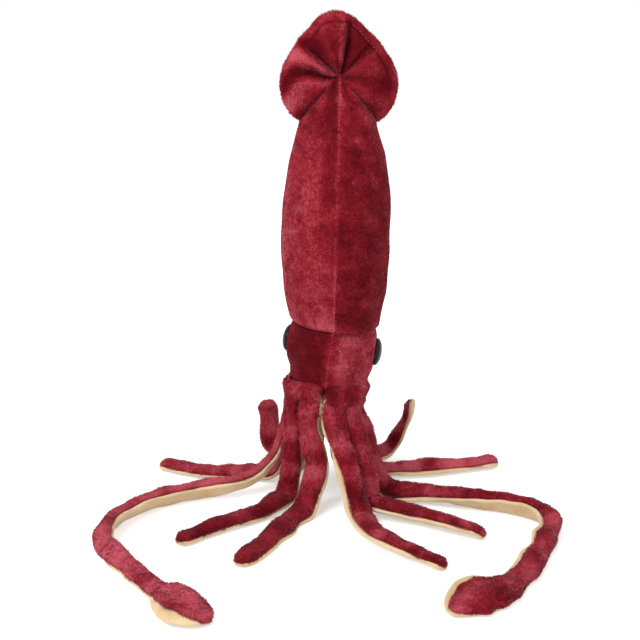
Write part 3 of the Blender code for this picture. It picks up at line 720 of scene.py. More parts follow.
def clouded_material(name, colours, scale, detail, bump=0.0, **inputs):
    """Plastic, thread or filling, clouded at one scale, with a bump of a height where it has one."""
    material, tree, shader = add_shader(name, **inputs)
    cloud = tree.noise(scale, detail)
    tree.link(tree.ramp(cloud, colours), shader, "Base Color")
    if bump:
        relief = tree.bump(cloud, strength=0.4, distance=bump)
        tree.link(relief.outputs["Normal"], shader, "Normal")
    return material


def body_frame(origin, up, right):
    across = (right - up * right.dot(up)).normalized()
    matrix = Matrix((across, up.cross(across), up)).transposed().to_4x4()
    matrix.translation = origin
    return np.array(matrix)


def place_points(matrix, points):
    placed = points.reshape(-1, 3) @ matrix[:3, :3].T + matrix[:3, 3]
    return placed.reshape(points.shape)


def turned(radius, angle, height):
    """Points round an upright axis, by their angle from the front."""
    return np.stack(np.broadcast_arrays(radius * np.sin(angle), -radius * np.cos(angle), height), axis=-1)


def lump_swell(world, radius, lump):
    """How far soft lumps push a turned form out, at points of the given radius."""
    swell = lump * LUMPS(world) + RIPPLE_SHARE * lump * RIPPLES(world)
    return np.maximum(swell, LUMP_FLOOR) * clamp(radius / LUMP_FADE)


def turned_panel(matrix, radii, heights, sign, tone, lump, pile):
    """One half of a turned cloth form, with a seam ridge in front and behind and soft lumps."""
    radius, angle = np.meshgrid(radii, np.linspace(0, math.pi, num=61), indexing="ij")
    points = turned(radius, sign * angle, heights[:, None])
    seam = bell(points[..., 0] / SEAM_WIDTH)
    swell = lump_swell(place_points(matrix, points), radius, lump)
    radius = np.maximum(radius + swell - SKIN_INSET + SEAM_RISE * seam, 0)
    points = turned(radius, sign * angle, heights[:, None])
    # Painted light: the panel's tone stands in for its sheen, with a painted highlight on the seam ridge and
    # painted light towards the sides
    shades = tone + SEAM_TONE * seam + SIDE_LIGHT * bell((angle - math.pi / 2) / SIDE_LIGHT_WIDTH)
    return points, angle, pile[0] + pile[1] * seam, shades


def finish_panel(part, side, sign, matrix, points, pile, shades, plush, seed):
    """The piece of one half of a turned form, with its faces outwards."""
    order = np.s_[::-1, ::-sign]
    skin = Skin()
    skin.add_grid(place_points(matrix, points)[order], -matrix[:3, 2], pile[order], shades[order])
    name = part + "_" + side
    put_piece(name + "_cloth", skin, plush, part, name + "_panel", seed)


def mantle_radius(height):
    """The mantle widens from its lip, narrows to the shoulder and closes to the tip."""
    lip_radius = HEAD_RADIUS + LIP_OVERHANG
    opening = quarter_sine((height - LIP_HEIGHT) / (WIDEST_HEIGHT - LIP_HEIGHT))
    low = lip_radius + (MANTLE_RADIUS - lip_radius) * opening
    taper = clamp((height - WIDEST_HEIGHT) / (SHOULDER_HEIGHT - WIDEST_HEIGHT)) ** MANTLE_TAPER
    middle = SHOULDER_RADIUS + (MANTLE_RADIUS - SHOULDER_RADIUS) * (1 - taper)
    taper = clamp((height - SHOULDER_HEIGHT) / SHOULDER_DROP) ** TIP_TAPER
    top = TIP_RADIUS + (SHOULDER_RADIUS - TIP_RADIUS) * (1 - taper)
    return np.where(height <= WIDEST_HEIGHT, low, np.where(height <= SHOULDER_HEIGHT, middle, top))


def build_mantle(matrix, plush):
    """Two panels from the gathered tip down to a soft lip that sags and turns in over the head."""
    outer = np.linspace(MANTLE_TOP, LIP_HEIGHT + LIP_ROUND, num=90)
    radii = mantle_radius(outer)
    turn = np.linspace(0, math.pi, LIP_STEPS + 1)[1:]
    lip_radii = radii[-1] - LIP_ROUND + LIP_ROUND * np.cos(turn)
    lip_heights = LIP_HEIGHT + LIP_ROUND - LIP_ROUND * np.sin(turn)
    radii = np.concatenate([[0.0], radii, lip_radii, [lip_radii[-1] - HEM_INSET]])
    heights = np.concatenate([[MANTLE_TOP + TIP_POINT], outer, lip_heights, [LIP_HEIGHT + HEM_HEIGHT]])
    for side, sign, tone, seam_shade, painted_shoulder_light, seed in MANTLE_SIDES:
        points, angle, pile, shades = turned_panel(
            matrix, radii, heights, sign, tone, MANTLE_LUMP, MANTLE_PILE)
        pile[-2:] = 0.0
        height = points[..., 2]
        above_lip = (height - LIP_HEIGHT) / LIP_REACH
        gather = np.exp(-np.maximum(MANTLE_TOP - height, 0) / TIP_GATHER_REACH)
        gather = gather * clamp(np.hypot(points[..., 0], points[..., 1]) / TIP_GATHER_REACH)
        fold = np.cos(TIP_FOLDS * angle) * gather
        points[..., :2] *= (1 + TIP_GATHER * fold)[..., None]
        near_seam = bell(points[..., 0] / SEAM_SHADE_WIDTH) * clamp(above_lip - SEAM_SHADE_START)
        shoulder = clamp((height - SHOULDER_HEIGHT + SHOULDER_DROP) / SHOULDER_DROP)
        # Painted light and shade: lighter and darker across the gather's folds, painted shade by the upper
        # seam, painted shade on the left shoulder and painted light on the right
        shades = shades + TIP_GATHER_SHADE * fold - seam_shade * near_seam + painted_shoulder_light * shoulder
        # A painted highlight round the lip's rounded rim
        shades = shades + LIP_RIM_PAINTED_LIGHT * bell((height - LIP_HEIGHT - LIP_ROUND) / LIP_ROUND)
        droop = clamp(1 - above_lip) ** LIP_FADE
        points[..., 2] -= droop * (points[..., 0] * LIP_TILT + LIP_WAVE * np.sin(3 * angle + sign))
        finish_panel("mantle", side, sign, matrix, points, pile, shades, plush, seed)


def build_filling(matrix, fibre):
    """The mantle's filling, kept clear of the cloth, of the gathered tip and of the open lip."""
    heights = np.linspace(MANTLE_TOP - FILLING_DROP, LIP_HEIGHT + FILLING_RISE, num=50)
    radii = mantle_radius(heights) - FILLING_INSET
    radii[[0, -1]] = 0.0
    points = turned(radii[:, None], around(count=64), heights[:, None])
    skin = Skin()
    skin.add_grid(place_points(matrix, points)[::-1], wrap=True)
    put_piece("mantle_filling", skin, fibre, "mantle", "mantle_stuffing")


def eye_direction(sign):
    angle = sign * EYE_ANGLE + EYE_TURN
    return np.array((math.sin(angle), -math.cos(angle), 0.0))


def build_head(matrix, plush):
    """Two panels that swell up from the crown, dome inside the mantle and rise to the eyes' seats."""
    heights = np.linspace(HEAD_BASE + HEAD_LENGTH + HEAD_DOME, HEAD_BASE - HEAD_TUCK, num=60)
    above = heights - HEAD_BASE - HEAD_LENGTH
    opening = quarter_sine((heights - HEAD_BASE) / HEAD_LENGTH * HEAD_SWELL)
    radii = HEAD_BASE_RADIUS + (HEAD_RADIUS - HEAD_BASE_RADIUS) * opening
    radii = np.where(above > 0, np.sqrt(np.maximum(HEAD_RADIUS ** 2 - above ** 2, 0)), radii)
    for side, sign, tone, seed in HEAD_SIDES:
        points, _, pile, shades = turned_panel(matrix, radii, heights, sign, tone, HEAD_LUMP, HEAD_PILE)
        # The panels' painted sheen fades out towards the seam
        shades = shades - HEAD_SEAM_TONE * tone * bell(points[..., 0] / HEAD_SEAM_FADE)
        out = eye_direction(sign)
        reach = points @ out
        beside = np.linalg.norm(points - np.array((0, 0, EYE_HEIGHT)) - reach[..., None] * out, axis=-1)
        mound = ease((EYE_RADIUS + SOCKET_SLOPE - beside) / SOCKET_SLOPE) * (reach > 0)
        lift = np.maximum(HEAD_RADIUS + EYE_GAP - EYE_SEAT - reach, 0) * mound
        points = points + lift[..., None] * out
        finish_panel("head", side, sign, matrix, points, pile, shades, plush, seed)


def build_crown(matrix, plush):
    """The bunched band of plush over the limbs' roots, split in front between the two front arms."""
    angles = around(CROWN_COLUMNS)
    ahead = clamp(CROWN_FRONT + np.cos(angles))
    split = bell(np.minimum(angles, 2 * math.pi - angles) / CROWN_SPLIT_WIDTH)
    bunch = bell((angles - CROWN_BUNCH_ANGLE) / CROWN_BUNCH_WIDTH)
    lobes = np.where(np.sin(angles) < 0, CROWN_LOBE_LEFT, CROWN_LOBE_RIGHT) * np.cos(CROWN_LOBES * angles)
    reach = CROWN_RADIUS + (CROWN_FRONT_RADIUS - CROWN_RADIUS) * ahead - lobes + CROWN_BUNCH * bunch
    reach = reach - SKIN_INSET - CROWN_SPLIT_DEPTH * split
    middle = CROWN_BASE + CROWN_HEIGHT * CROWN_MIDDLE - CROWN_SAG * (ahead + CROWN_BUNCH_SAG * bunch)
    low = (CROWN_HEIGHT / 2 + CROWN_SAG * ahead + CROWN_WAVE * np.sin(3 * angles + 0.6)) * (1 - split)
    high = CROWN_HEIGHT / 2 + CROWN_SAG * ahead * (1 - bunch)
    turn = np.linspace(*CROWN_TURN, num=16)[:, None]
    radius = reach - CROWN_ROUND + CROWN_ROUND * np.cos(turn)
    height = middle + np.where(turn < 0, low, high) * np.sin(turn)
    under = np.ones((2, CROWN_COLUMNS))
    radius = np.concatenate([under * np.array(CROWN_HOLE)[:, None], radius])
    height = np.concatenate([under * CROWN_BASE, height])
    points = place_points(matrix, turned(radius, angles, height))
    skin = Skin()
    skin.add_grid(points, -matrix[:3, 2], np.where(radius > CROWN_BARE, CROWN_PILE, 0.0),
                  CROWN_MOTTLE * RIPPLES(points), wrap=True)
    put_piece("crown_cloth", skin, plush, "head", "arm_crown", seed=15)


def build_eye(side, sign, head, gloss):
    """A polished dome with a thin rim, on the CAD eye's place and size."""
    turn = np.linspace(0, math.pi / 2, num=18)
    radii = np.concatenate([EYE_RADIUS * np.sin(turn), [EYE_RADIUS, EYE_RADIUS - EYE_BEVEL, 0.0]])
    rises = np.concatenate([EYE_RIM + EYE_DOME * np.cos(turn), [EYE_RIM / 2, 0.0, 0.0]])
    angles = around(count=64)[:, None]
    out = eye_direction(sign)
    level, up = np.array((-out[1], out[0], 0.0)), np.array((0.0, 0.0, 1.0))
    ring = np.cos(angles) * level + np.sin(angles) * up
    middles = out * (HEAD_RADIUS + EYE_GAP + rises)[:, None, None]
    points = middles + radii[:, None, None] * ring + up * EYE_HEIGHT
    skin = Skin()
    skin.add_grid(place_points(head, points), wrap=True)
    put_piece(side + "_eye_dome", skin, gloss, "head", side + "_eye")


def outline_reach(angles):
    """How far the fin's outline lies from the gather, by angle from straight up."""
    right = [(FIN_REACH * x, FIN_RISE * z) for x, z in FIN_UPPER_EDGE]
    right += [(FIN_REACH * x, -FIN_DROP * z) for x, z in FIN_LOWER_EDGE]
    edge = np.array([(-x, z) for x, z in reversed(right[1:])] + right)
    bearing = np.arctan2(edge[:, 0], edge[:, 1])
    return soften(np.interp(angles, bearing, np.linalg.norm(edge, axis=1)), reach=4)


def fin_points(matrix, rho, angle, height):
    """Places on the fin, whose top leans over to the left."""
    rise = rho * np.cos(angle)
    x = rho * np.sin(angle) + FIN_LEAN * clamp(rise / FIN_RISE) ** 2
    return place_points(matrix, np.stack([x, height, rise], axis=-1))


def fin_relief(front, pleats, depth, share, angle, reach):
    """How high one layer of the fin stands, and its tone, by share of its reach and angle from the top."""
    marks, levels = np.array(pleats).T
    level = soften(np.interp(np.degrees(angle[0]), marks, levels) ** PLEAT_ROUNDING, reach=2)
    outer = clamp((share - FIN_BOW_START) / (1 - FIN_BOW_START))
    bow = FIN_BOW * np.sin(math.pi * outer) - FIN_SWEEP * outer ** 2
    bow = bow * bell((angle - FIN_BOW_ANGLE) / FIN_BOW_WIDTH) * front
    level = np.interp(angle - bow, angle[0], level)
    to_rim = (1 - share) * reach
    banded = clamp((np.degrees(angle) - BAND_START) / BAND_RAMP) if front else np.ones_like(angle)
    fade = clamp(to_rim / (FIN_BAND * (PLEAT_RUNOUT[0] + PLEAT_RUNOUT[1] * banded))) ** PLEAT_FADE
    pleat = PLEAT_MIDDLE + (level - PLEAT_MIDDLE) * depth * fade
    envelope = quarter_sine(to_rim / (FIN_RIM + BAND_RIM * banded)) ** FIN_ROUNDING
    gather = clamp(share * reach / FIN_GATHER) ** FIN_ROUNDING
    notch_edge = clamp((FIN_NOTCH - np.abs(angle)) / NOTCH_FADE) ** NOTCH_ROUNDING
    upper = clamp(np.cos(angle) * 2 + 0.8)
    seam = bell((to_rim - FIN_BAND) / BAND_SEAM_WIDTH) * upper * (0.1 + 0.9 * banded)
    height = ((FIN_EDGE + FIN_PUFF * pleat * gather) * envelope - seam * BAND_SEAM_DEPTH) * notch_edge
    # Painted light and shade: darker on the right, in the pleats' valleys and in the band's seam groove,
    # lighter on the left and on the pleats' crests
    tone = FIN_SHADE - FIN_SIDE_SHADE * np.sin(angle) + BARE_RIM_TONE * (1 - banded)
    tone = tone + (PLEAT_TONES[0] + PLEAT_TONES[1] * banded) * (level - PLEAT_TONE_MIDDLE) * fade
    tone = tone - BAND_SEAM_SHADE * seam + BAND_TONE * np.exp(-(to_rim / FIN_BAND) ** 4)
    return np.maximum(height, FIN_LEAST), tone


def build_fin(matrix, plush, fibre, thread):
    """Two pleated layers, stitches along the upper right edge in front, and the filling between."""
    bearings = np.linspace(-FIN_NOTCH, FIN_NOTCH, num=241)
    reach = outline_reach(bearings)
    share, angle = np.meshgrid(np.linspace(0.0, 1.0, num=48) ** ROW_CROWDING, bearings, indexing="ij")
    rho = share * reach
    out = np.stack([np.sin(angle), np.zeros_like(angle), np.cos(angle)], axis=-1) @ matrix[:3, :3].T
    filling = Skin()
    for side, sign, pleats, depth, seed in FIN_SIDES:
        order = np.s_[:, ::-sign]
        height, tone = fin_relief(side == "front", pleats, depth, share, angle, reach)
        points = fin_points(matrix, rho, angle, sign * height)
        if side == "front":
            columns = np.flatnonzero((bearings > FIN_STITCHED[0]) & (bearings < FIN_STITCHED[1]))
            rows = np.abs((1 - share) * reach - FIN_BAND + FIN_STITCH_SHIFT).argmin(axis=0)[columns]
            build_stitches("fin_edge_stitches", "fin", points[rows, columns], -matrix[:3, 1], thread)
        skin = Skin()
        skin.add_grid(points[order], out[order], FIN_PILE, tone[order])
        name = "fin_" + side
        put_piece(name + "_cloth", skin, plush, "fin", name + "_layer", seed)
        inside = sign * np.maximum(height - FIN_CLOTH, FIN_CORE_LEAST)
        filling.add_grid(fin_points(matrix, FIN_CORE * rho, angle, inside)[order])
    put_piece("fin_filling", filling, fibre, "fin", "fin_stuffing")


def build_stitches(name, body, path, outward, thread):
    """Thread stitches along a path, each a small arched tube whose ends dip into the cloth."""
    steps = np.linalg.norm(np.diff(path, axis=0), axis=1)
    runs = np.concatenate([[0.0], np.cumsum(steps)])
    skin = Skin()
    turn = around(count=8)[:, None]
    share = np.linspace(-1, 1, num=9)
    rise = STITCH_HEIGHT * (1 - STITCH_DIP * share ** 4)
    radius = STITCH_RADIUS * np.sqrt(clamp(1 - STITCH_TAPER * share ** 8))
    for middle in np.arange(STITCH_PITCH, runs[-1] - STITCH_PITCH, STITCH_PITCH):
        place = at_runs(middle + share * STITCH_LENGTH / 2, runs, path) + outward * rise[:, None]
        along = unit(np.gradient(place, axis=0))
        side = unit(np.cross(along, outward))
        lift = np.cross(side, along)
        ring = np.cos(turn) * side[:, None] + np.sin(turn) * lift[:, None]
        points = place[:, None] + radius[:, None, None] * ring
        skin.add_grid(points[:, ::-1], wrap=True)
    put_piece(name, skin, thread, body)


def build_seam_stitches(matrix, thread):
    """Stitches on the upper part of the mantle's front and back seams, below the gather."""
    heights = np.linspace(MANTLE_TOP - STITCH_MARGIN, MANTLE_TOP - STITCHED_LENGTH, num=80)
    radius = mantle_radius(heights) - SKIN_INSET + SEAM_RISE
    for side, sign in (("front", -1.0), ("back", 1.0)):
        line = np.stack([np.zeros_like(radius), sign * radius, heights], axis=-1)
        line[:, 1] += sign * lump_swell(place_points(matrix, line), radius, MANTLE_LUMP)
        path = place_points(matrix, line)
        build_stitches("mantle_" + side + "_stitches", "mantle", path, sign * matrix[:3, 1], thread)


def smooth_curve(points, rolls, spacing):
    """Evenly stepped places, and rolls, along a curve that passes through the points."""
    places, turns = [], []
    last = len(points) - 1
    for i in range(last):
        p0, p1 = points[max(i - 1, 0)], points[i]
        p2, p3 = points[i + 1], points[min(i + 2, last)]
        steps = max(2, round((p2 - p1).length / spacing))
        for k in range(steps):
            t = k / steps
            places.append(0.5 * (2 * p1 + (p2 - p0) * t + (2 * p0 - 5 * p1 + 4 * p2 - p3) * t ** 2
                                 + (3 * p1 - p0 - 3 * p2 + p3) * t ** 3))
            turns.append(rolls[i] + (rolls[i + 1] - rolls[i]) * t)
    return places + [points[-1]], turns + [rolls[-1]]


class Limb:
    """A limb's middle line, as in the CAD part, with its side and plush directions."""

    def __init__(self, root, outward, upward, route, rolls, width_at):
        points = [root, root - upward * ROOT_DROP]
        points += [Vector((x * MM + AXIS_X, y * MM + AXIS_Y, max(z * MM, HALF))) for x, y, z in route]
        self.places, self.rolls = smooth_curve(points, [0.0, 0.0] + list(rolls), CURVE_SPACING)
        self.width_at = width_at
        self.measure()
        knee = next(i for i, place in enumerate(self.places) if place.z < LIMB_THICKNESS)
        self.headings = self.level_headings(knee, outward)
        level = Vector((0.0, 0.0, 1.0))
        self.uprights = [upward.lerp(level, min(1.0, i / knee)) for i in range(len(self.places))]
        for _ in range(FLOOR_PASSES):
            self.lay_on_floor()
            self.measure()

    def measure(self):
        steps = [(b - a).length for a, b in zip(self.places, self.places[1:])]
        self.runs = np.concatenate([[0.0], np.cumsum(steps)])
        self.length = self.runs[-1]

    def level_headings(self, knee, outward):
        """Which way the limb runs, seen from above: outward at its root, along its route past the knee."""
        headings = []
        way = outward
        last = len(self.places) - 1
        for i in range(last + 1):
            middle = max(i, knee)
            step = self.places[min(middle + HEADING_STEPS, last)] - self.places[middle - HEADING_STEPS]
            step.z = 0.0
            if step.length >= CURVE_SPACING:
                way = step.normalized()
            headings.append(outward.lerp(way, min(1.0, i / knee)).normalized())
        return headings

    def lay_on_floor(self):
        """Raise each place so far that the rolled limb's lower edge rests on the floor."""
        lifted = []
        for i, place in enumerate(self.places):
            side, plush = self.directions(i)[1:]
            width = self.width_at(self.runs[i], self.length)
            reach = abs(side.z) * width / 2 + abs(plush.z) * HALF
            lifted.append(Vector((place.x, place.y, max(place.z, reach))))
        self.places = lifted

    def directions(self, index):
        """Along the limb, to its side, and towards its plush."""
        ahead = min(index + 1, len(self.places) - 1)
        along = (self.places[ahead] - self.places[max(index - 1, 0)]).normalized()
        side = self.headings[index].cross(self.uprights[index])
        side = (side - along * side.dot(along)).normalized()
        side = Matrix.Rotation(math.radians(self.rolls[index]), 3, along) @ side
        return along, side, side.cross(along)

    def sample(self, runs):
        """Places and directions at distances from the root, evenly blended between the curve's points."""
        table = [(place, *self.directions(i)) for i, place in enumerate(self.places)]
        inside = np.clip(runs, 0, self.length)
        mixed = [at_runs(inside, self.runs, np.array([row[k] for row in table])) for k in range(4)]
        mixed[1:] = [unit(vectors) for vectors in mixed[1:]]
        mixed[0] = mixed[0] + mixed[1] * (runs - inside)[:, None]
        return mixed


def arm_width(run, length):
    taper = clamp((run - ARM_OPENING) / (length - ARM_OPENING))
    width = ROOT_WIDTH + (ARM_WIDTH - ROOT_WIDTH) * swing(run / ARM_OPENING)
    width = width + (ARM_TIP_WIDTH - ARM_WIDTH) * taper
    left = clamp((length - run) / (ARM_TIP_WIDTH / 2))
    return width * np.sqrt(1 - (1 - left) ** 2 * ARM_END_RATIO)


def tentacle_width(run, length):
    share = 1 - (length - run) / CLUB_LENGTH
    closing = clamp((share - CLUB_WIDEST) / (1 - CLUB_WIDEST))
    width = STALK_WIDTH + (CLUB_WIDTH - STALK_WIDTH) * swing(share / CLUB_WIDEST)
    return width * np.sqrt(1 - CLUB_END_RATIO * closing ** 2)


class Stretch:
    """A stretch of a limb between two joints, or from the last one to the tip, cut into rows."""

    def __init__(self, name, label, limb, start, end, at_tip, wobble):
        self.name, self.label, self.limb, self.wobble = name, label, limb, wobble
        self.start, self.end, self.at_tip = start, end, at_tip
        self.tentacle = name in TENTACLES
        rows = max(LEAST_ROWS, round((end - start) / ROW_PITCH))
        self.runs = np.linspace(start, end, rows + 1)
        if at_tip:
            near_end = end - np.array(TIP_ROWS) * MM
            self.runs = np.concatenate([self.runs[self.runs < near_end[0] - TIP_ROW_GAP], near_end])
        self.to_end = limb.length - self.runs
        self.width = limb.width_at(self.runs, limb.length)
        self.steady = clamp(self.runs / STEADY_REACH)
        self.shoulder = 1 - ROOT_ROUNDING * clamp(-self.runs / ROOT_CAP) ** 2

    def near_root(self, reach):
        return clamp(1.4 - 1.4 * np.abs(self.runs) / reach)

    def plush_top(self, place):
        """How high the plush stands over the middle line."""
        shifted = place - self.wobble
        rise = 1 + self.steady * (TOP_RIPPLES * RIPPLES(shifted) + TOP_LUMPS * LUMPS(shifted))
        if self.tentacle:
            opened = clamp((self.runs - ROOT_TUCK_REACH) / LOFT_FADE)
            opened = opened * clamp((self.to_end - CLUB_LENGTH - BEND_LENGTH) / BEND_FADE, low=0.1)
        else:
            opened = clamp(self.runs / ARM_OPENING * 2 - 0.6) * clamp(self.to_end / ARM_LOFT_FADE, low=0.15)
        top = (HALF - SKIN_INSET) * rise + opened * LOFT.get(self.name, ARM_LOFT)
        if self.tentacle:
            top = top - ROOT_TUCK * self.near_root(ROOT_TUCK_REACH)
        if self.at_tip:
            top = top * np.sqrt(clamp((self.end - self.runs) / TIP_ROUND, low=0.02))
        if self.start < 0:
            top = top * np.sqrt(clamp(1 - (np.maximum(-self.runs, 0) / -self.start) ** 2, low=0.05))
        return top

    def loft(self, sample, across, lift, pile=0.0, tone=0.0):
        """A closed tube over sections given by their sideways and plushwards offsets."""
        place, along, side, up = (rows[:, None] for rows in sample)
        points = place + side * across[:, ::-1, None] + up * lift[:, ::-1, None]
        points[..., 2] = np.maximum(points[..., 2], FLOOR_SKIM)
        nap = np.broadcast_to(along, points.shape)
        tone = np.broadcast_to(tone, points.shape[:2])
        skin = Skin()
        skin.add_grid(points, nap, pile, tone, wrap=True)
        for rows, centre, cap_pile in (([0, 0], 0, 0.0), ([-1, -1], 1, pile)):
            cap = points[rows]
            cap[centre] = cap[centre].mean(axis=0)
            skin.add_grid(cap, nap[rows], cap_pile, tone[rows], wrap=True)
        return skin

    def plush_piece(self, plush, seed):
        """The plush: an arch with lumps, folded lengthwise on the club."""
        sample = self.limb.sample(self.runs)
        place, wobble = sample[0], self.wobble
        ridge = clamp((self.width - STALK_WIDTH) / (CLUB_WIDTH - STALK_WIDTH))[:, None] * self.tentacle
        sides = []
        for shift, extra in zip((wobble, 3 * wobble), ROOT_SPREAD.get(self.name, (0.0, 0.0))):
            lumps = SIDE_LUMPS * LUMPS(place + shift) + SIDE_RIPPLES * RIPPLES(place + shift)
            half = (self.width / 2 - SIDE_INSET) * (1 + CLUB_PLUMP * ridge[:, 0] + self.steady * lumps)
            sides.append((half + extra * self.near_root(SPREAD_REACH)) * self.shoulder)
        turn = np.linspace(0, math.pi, ARCH_STEPS + 1)
        cos, sin = np.cos(turn), np.sin(turn)
        waved = np.sin(self.runs / FOLD_SWAY_LENGTH)[:, None]
        fold = np.cos(FOLDS_ACROSS * cos + FOLD_SWAY * waved)
        scallop = SCALLOP * np.sign(cos) * np.sin(self.runs / SCALLOP_LENGTH)[:, None] * cos ** 2
        across = np.where(cos > 0, sides[1][:, None], -sides[0][:, None]) * np.abs(cos) ** ARCH_SIDES
        across = across + ridge * scallop
        low = -HALF + SUEDE - ARCH_TUCK
        lift = low + np.maximum(self.plush_top(place) - low, ARCH_LEAST)[:, None] * sin ** ARCH_TOP
        lift = lift + ridge * (CLUB_FOLD * fold + CLUB_CROWN) * sin ** 2
        # Painted light and shade: a tone per limb, lighter on the arch's top and higher up, and on the clubs
        # darker in the fold valleys and lighter on the ridges; the ripples add a mottle
        tone = LIMB_TONE.get(self.name, PLAIN_TONE)
        if self.tentacle:
            tone = tone * clamp(self.runs / TONE_REACH)[:, None]
        tone = tone + PAINTED_TOP_LIGHT * sin + PAINTED_HEIGHT_LIGHT * clamp(place[:, 2:] / TONE_HEIGHT)
        tone = tone + RIPPLE_TONE * RIPPLES(place + 2 * wobble)[:, None]
        tone = tone + PAINTED_FOLD_SHADING * ridge * (fold - FOLD_TONE_MIDDLE)
        skin = self.loft(sample, across, lift, LIMB_PILE, tone)
        return make_piece(self.name + "_" + self.label + "_pile_cloth", skin, plush, seed)

    def sole_piece(self, suede):
        """The sole: a rounded strip that ripples, shows beside the plush and curls round the club."""
        name, runs, wobble = self.name, self.runs, self.wobble
        share = clamp((runs - self.start) / (self.end - self.start))
        longer = SOLE_TIP.get(name, ARM_SOLE_TIP) * share ** 4 * self.at_tip
        sample = self.limb.sample(np.maximum(runs + longer, -SOLE_CAP))
        place = sample[0]
        shown = clamp(np.minimum((runs - SHOW_START) / SHOW_RISE, self.to_end / SHOW_FALL))
        even = clamp((CLUB_LENGTH - self.to_end) / FLANGE_FALL + 2, high=FLANGE_EVEN) * self.tentacle
        growth = ease((CLUB_LENGTH + FLANGE_LEAD - self.to_end) / FLANGE_RISE)
        growth = growth * np.sqrt(clamp(self.to_end / FLANGE_FALL))
        spread = SOLE_SPREAD * clamp(1 - runs / ARM_OPENING * 2) * (runs > 0)
        sides = []
        for shift, show, flange in zip((wobble, -wobble), SOLE_SHOW.get(name, (0.0, 0.0)),
                                       CLUB_FLANGE.get(name, (0.0, 0.0))):
            wave = 1 + self.steady * (1 - even) * SOLE_WAVE * RIPPLES(place + shift)
            half = self.width / 2 * wave - SOLE_INSET + spread
            sides.append(half * self.shoulder + show * shown + flange * growth)
        thickness = np.full(len(runs), SUEDE / 2 - SOLE_PLAY)
        if self.at_tip:
            thickness = thickness * np.sqrt(clamp((self.end - runs) / SOLE_TIP_ROUND, low=0.05))
        if self.start < 0:
            thickness = thickness * np.sqrt(clamp((runs - self.start) / SOLE_ROOT_ROUND, low=0.05))
        turn = around(count=24)
        round_x, round_z = signed_power(np.cos(turn), SOLE_SIDES), signed_power(np.sin(turn), SOLE_FACES)
        across = np.where(round_x > 0, sides[1][:, None], sides[0][:, None]) * round_x
        crease = SOLE_CREASE * np.maximum(RIPPLES(place - 2 * wobble), 0) * self.steady
        curl = CLUB_CURL.get(name, 0.0) * growth[:, None] * clamp(2 * round_x - 1) ** 2
        lift = -HALF + SUEDE / 2 + thickness[:, None] * round_z + crease[:, None] * (round_z < 0) + curl
        return make_piece(name + "_" + self.label + "_sole_cloth", self.loft(sample, across, lift), suede)


def build_limb(name, route, rolls, width_at, labels, cuts, head, plush, suede, seed):
    """A limb's stretches, cut short of the joints, each a plush and a sole piece in place of the CAD nodes.
    """
    root = joint_place(name + "_" + labels[0] + "_joint")
    ring, up = Vector(head[:3, 3]), Vector(head[:3, 2])
    limb = Limb(root, (root - ring).normalized(), up, route, rolls, width_at)
    joints = [0.0] + [limb.length - cut for cut in cuts]
    wobble = np.array(root) * WOBBLE
    for i, label in enumerate(labels):
        start = -ROOT_CAP if i == 0 else joints[i] - PIECE_OVERLAP + PIECE_SHIFT
        at_tip = i == len(labels) - 1
        end = limb.length if at_tip else joints[i + 1] - PIECE_OVERLAP
        stretch = Stretch(name, label, limb, start, end, at_tip, wobble)
        pieces = (stretch.plush_piece(plush, seed + i), stretch.sole_piece(suede))
        for piece, kind, slot in zip(pieces, ("plush", "suede"), ("crimson_plush", "tan_suede")):
            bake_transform(piece)
            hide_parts(name + "_" + label + "_" + kind)


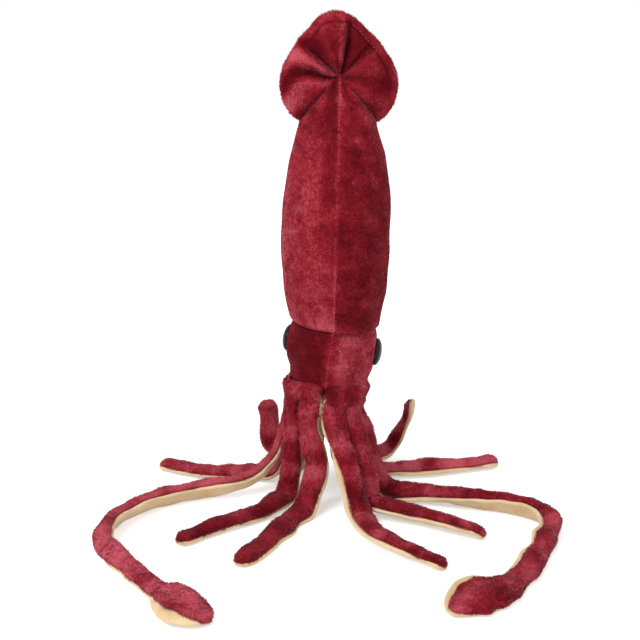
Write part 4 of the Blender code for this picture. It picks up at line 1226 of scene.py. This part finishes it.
def build_stage():
    """The camera at the photograph's angle, a white floor that keeps the shadow, a sky and two lamps."""
    scene = bpy.context.scene
    scene.view_settings.view_transform = "Standard"
    lens = bpy.data.cameras.new("camera")
    lens.lens = LENS
    lens.sensor_width = SENSOR
    camera = add_object("camera", lens)
    camera.location = CAMERA_PLACE
    camera.rotation_euler = (math.radians(90 - CAMERA_DIP), 0.0, 0.0)
    scene.camera = camera

    mesh = bpy.data.meshes.new("floor")
    corners = [(x * FLOOR_SIZE, y * FLOOR_SIZE, 0) for x, y in ((-1, -1), (1, -1), (1, 1), (-1, 1))]
    mesh.from_pydata(corners, [], [(0, 1, 2, 3)])
    material, tree, shader = add_shader(
        "floor_look", Roughness=0.9, Base_Color=FLOOR_COLOUR, Emission_Color=WHITE)
    tree.link(tree.maths("MULTIPLY", tree.seen_directly(), FLOOR_GLOW), shader, "Emission Strength")
    mesh.materials.append(material)
    floor = add_object("floor", mesh)

    world = bpy.data.worlds.new("world")
    tree = NodeTree(world)
    sky = tree.nodes["Background"]
    set_inputs(sky, Color=WHITE, Strength=SKY_STRENGTH)
    backdrop = tree.add("Background", Color=WHITE)
    mix = tree.add("MixShader")
    tree.link(tree.seen_directly(), mix, "Fac")
    tree.link(sky.outputs[0], mix, 1)
    tree.link(backdrop.outputs[0], mix, 2)
    tree.link(mix.outputs[0], tree.nodes["World Output"], "Surface")
    scene.world = world
    for name, place, power, width in LAMPS:
        light = bpy.data.lights.new(name, "AREA")
        light.energy = power
        light.size = width
        lamp = add_object(name, light)
        lamp.location = place
        lamp.rotation_euler = (LAMP_TARGET - Vector(place)).to_track_quat("-Z", "Y").to_euler()


def main():
    plush, suede = plush_material(), suede_material()
    gloss = clouded_material("eye_look", EYE_COLOURS, 300.0, 2.0, Roughness=0.16, Specular_IOR_Level=0.14)
    thread = clouded_material("thread_look", THREAD_COLOURS, 1800.0, 2.0, bump=0.2 * MM, Roughness=0.5,
                              Specular_IOR_Level=0.1)
    fibre = clouded_material("fibre_look", FIBRE_COLOURS, 250.0, 4.0, Roughness=1.0)
    nylon = clouded_material("nylon_look", NYLON_COLOURS, 120.0, 4.0, Roughness=0.5)
    roots = [joint_place(name + "_base_joint") for name in ARMS]
    roots += [joint_place(name + "_stalk_joint") for name in TENTACLES]
    ring = sum(roots, Vector()) / len(roots)
    neck, pivot = joint_place("neck_joint"), joint_place("fin_joint")
    head = body_frame(ring, (neck - ring).normalized(), roots[-1] - roots[-2])
    mantle = body_frame(neck, (pivot - neck).normalized(), Vector((1.0, 0.0, 0.0)))
    fin = mantle.copy()
    fin[:3, 3] = pivot
    build_mantle(mantle, plush)
    build_filling(mantle, fibre)
    build_head(head, plush)
    build_crown(head, plush)
    build_eye("left", -1, head, gloss)
    build_eye("right", 1, head, gloss)
    build_fin(fin, plush, fibre, thread)
    build_seam_stitches(mantle, thread)
    seed = 100
    for limbs, width_at, labels, cuts in (
            (ARMS, arm_width, ("base", "tip"), (ARM_CURL_LENGTH,)),
            (TENTACLES, tentacle_width, ("stalk", "bend", "club"), (CLUB_LENGTH + BEND_LENGTH, CLUB_LENGTH))):
        for name, (route, rolls) in limbs.items():
            build_limb(name, route, rolls, width_at, labels, cuts, head, plush, suede, seed)
            seed += 10
    looks = {"left_eye_washer": nylon, "right_eye_washer": nylon, "head_stuffing": fibre}
    for node, material in looks.items():
        shape = bpy.data.objects[node].data
        shape.materials.clear()
        shape.materials.append(material)
    build_stage()


main()
bpy.context.view_layer.update()
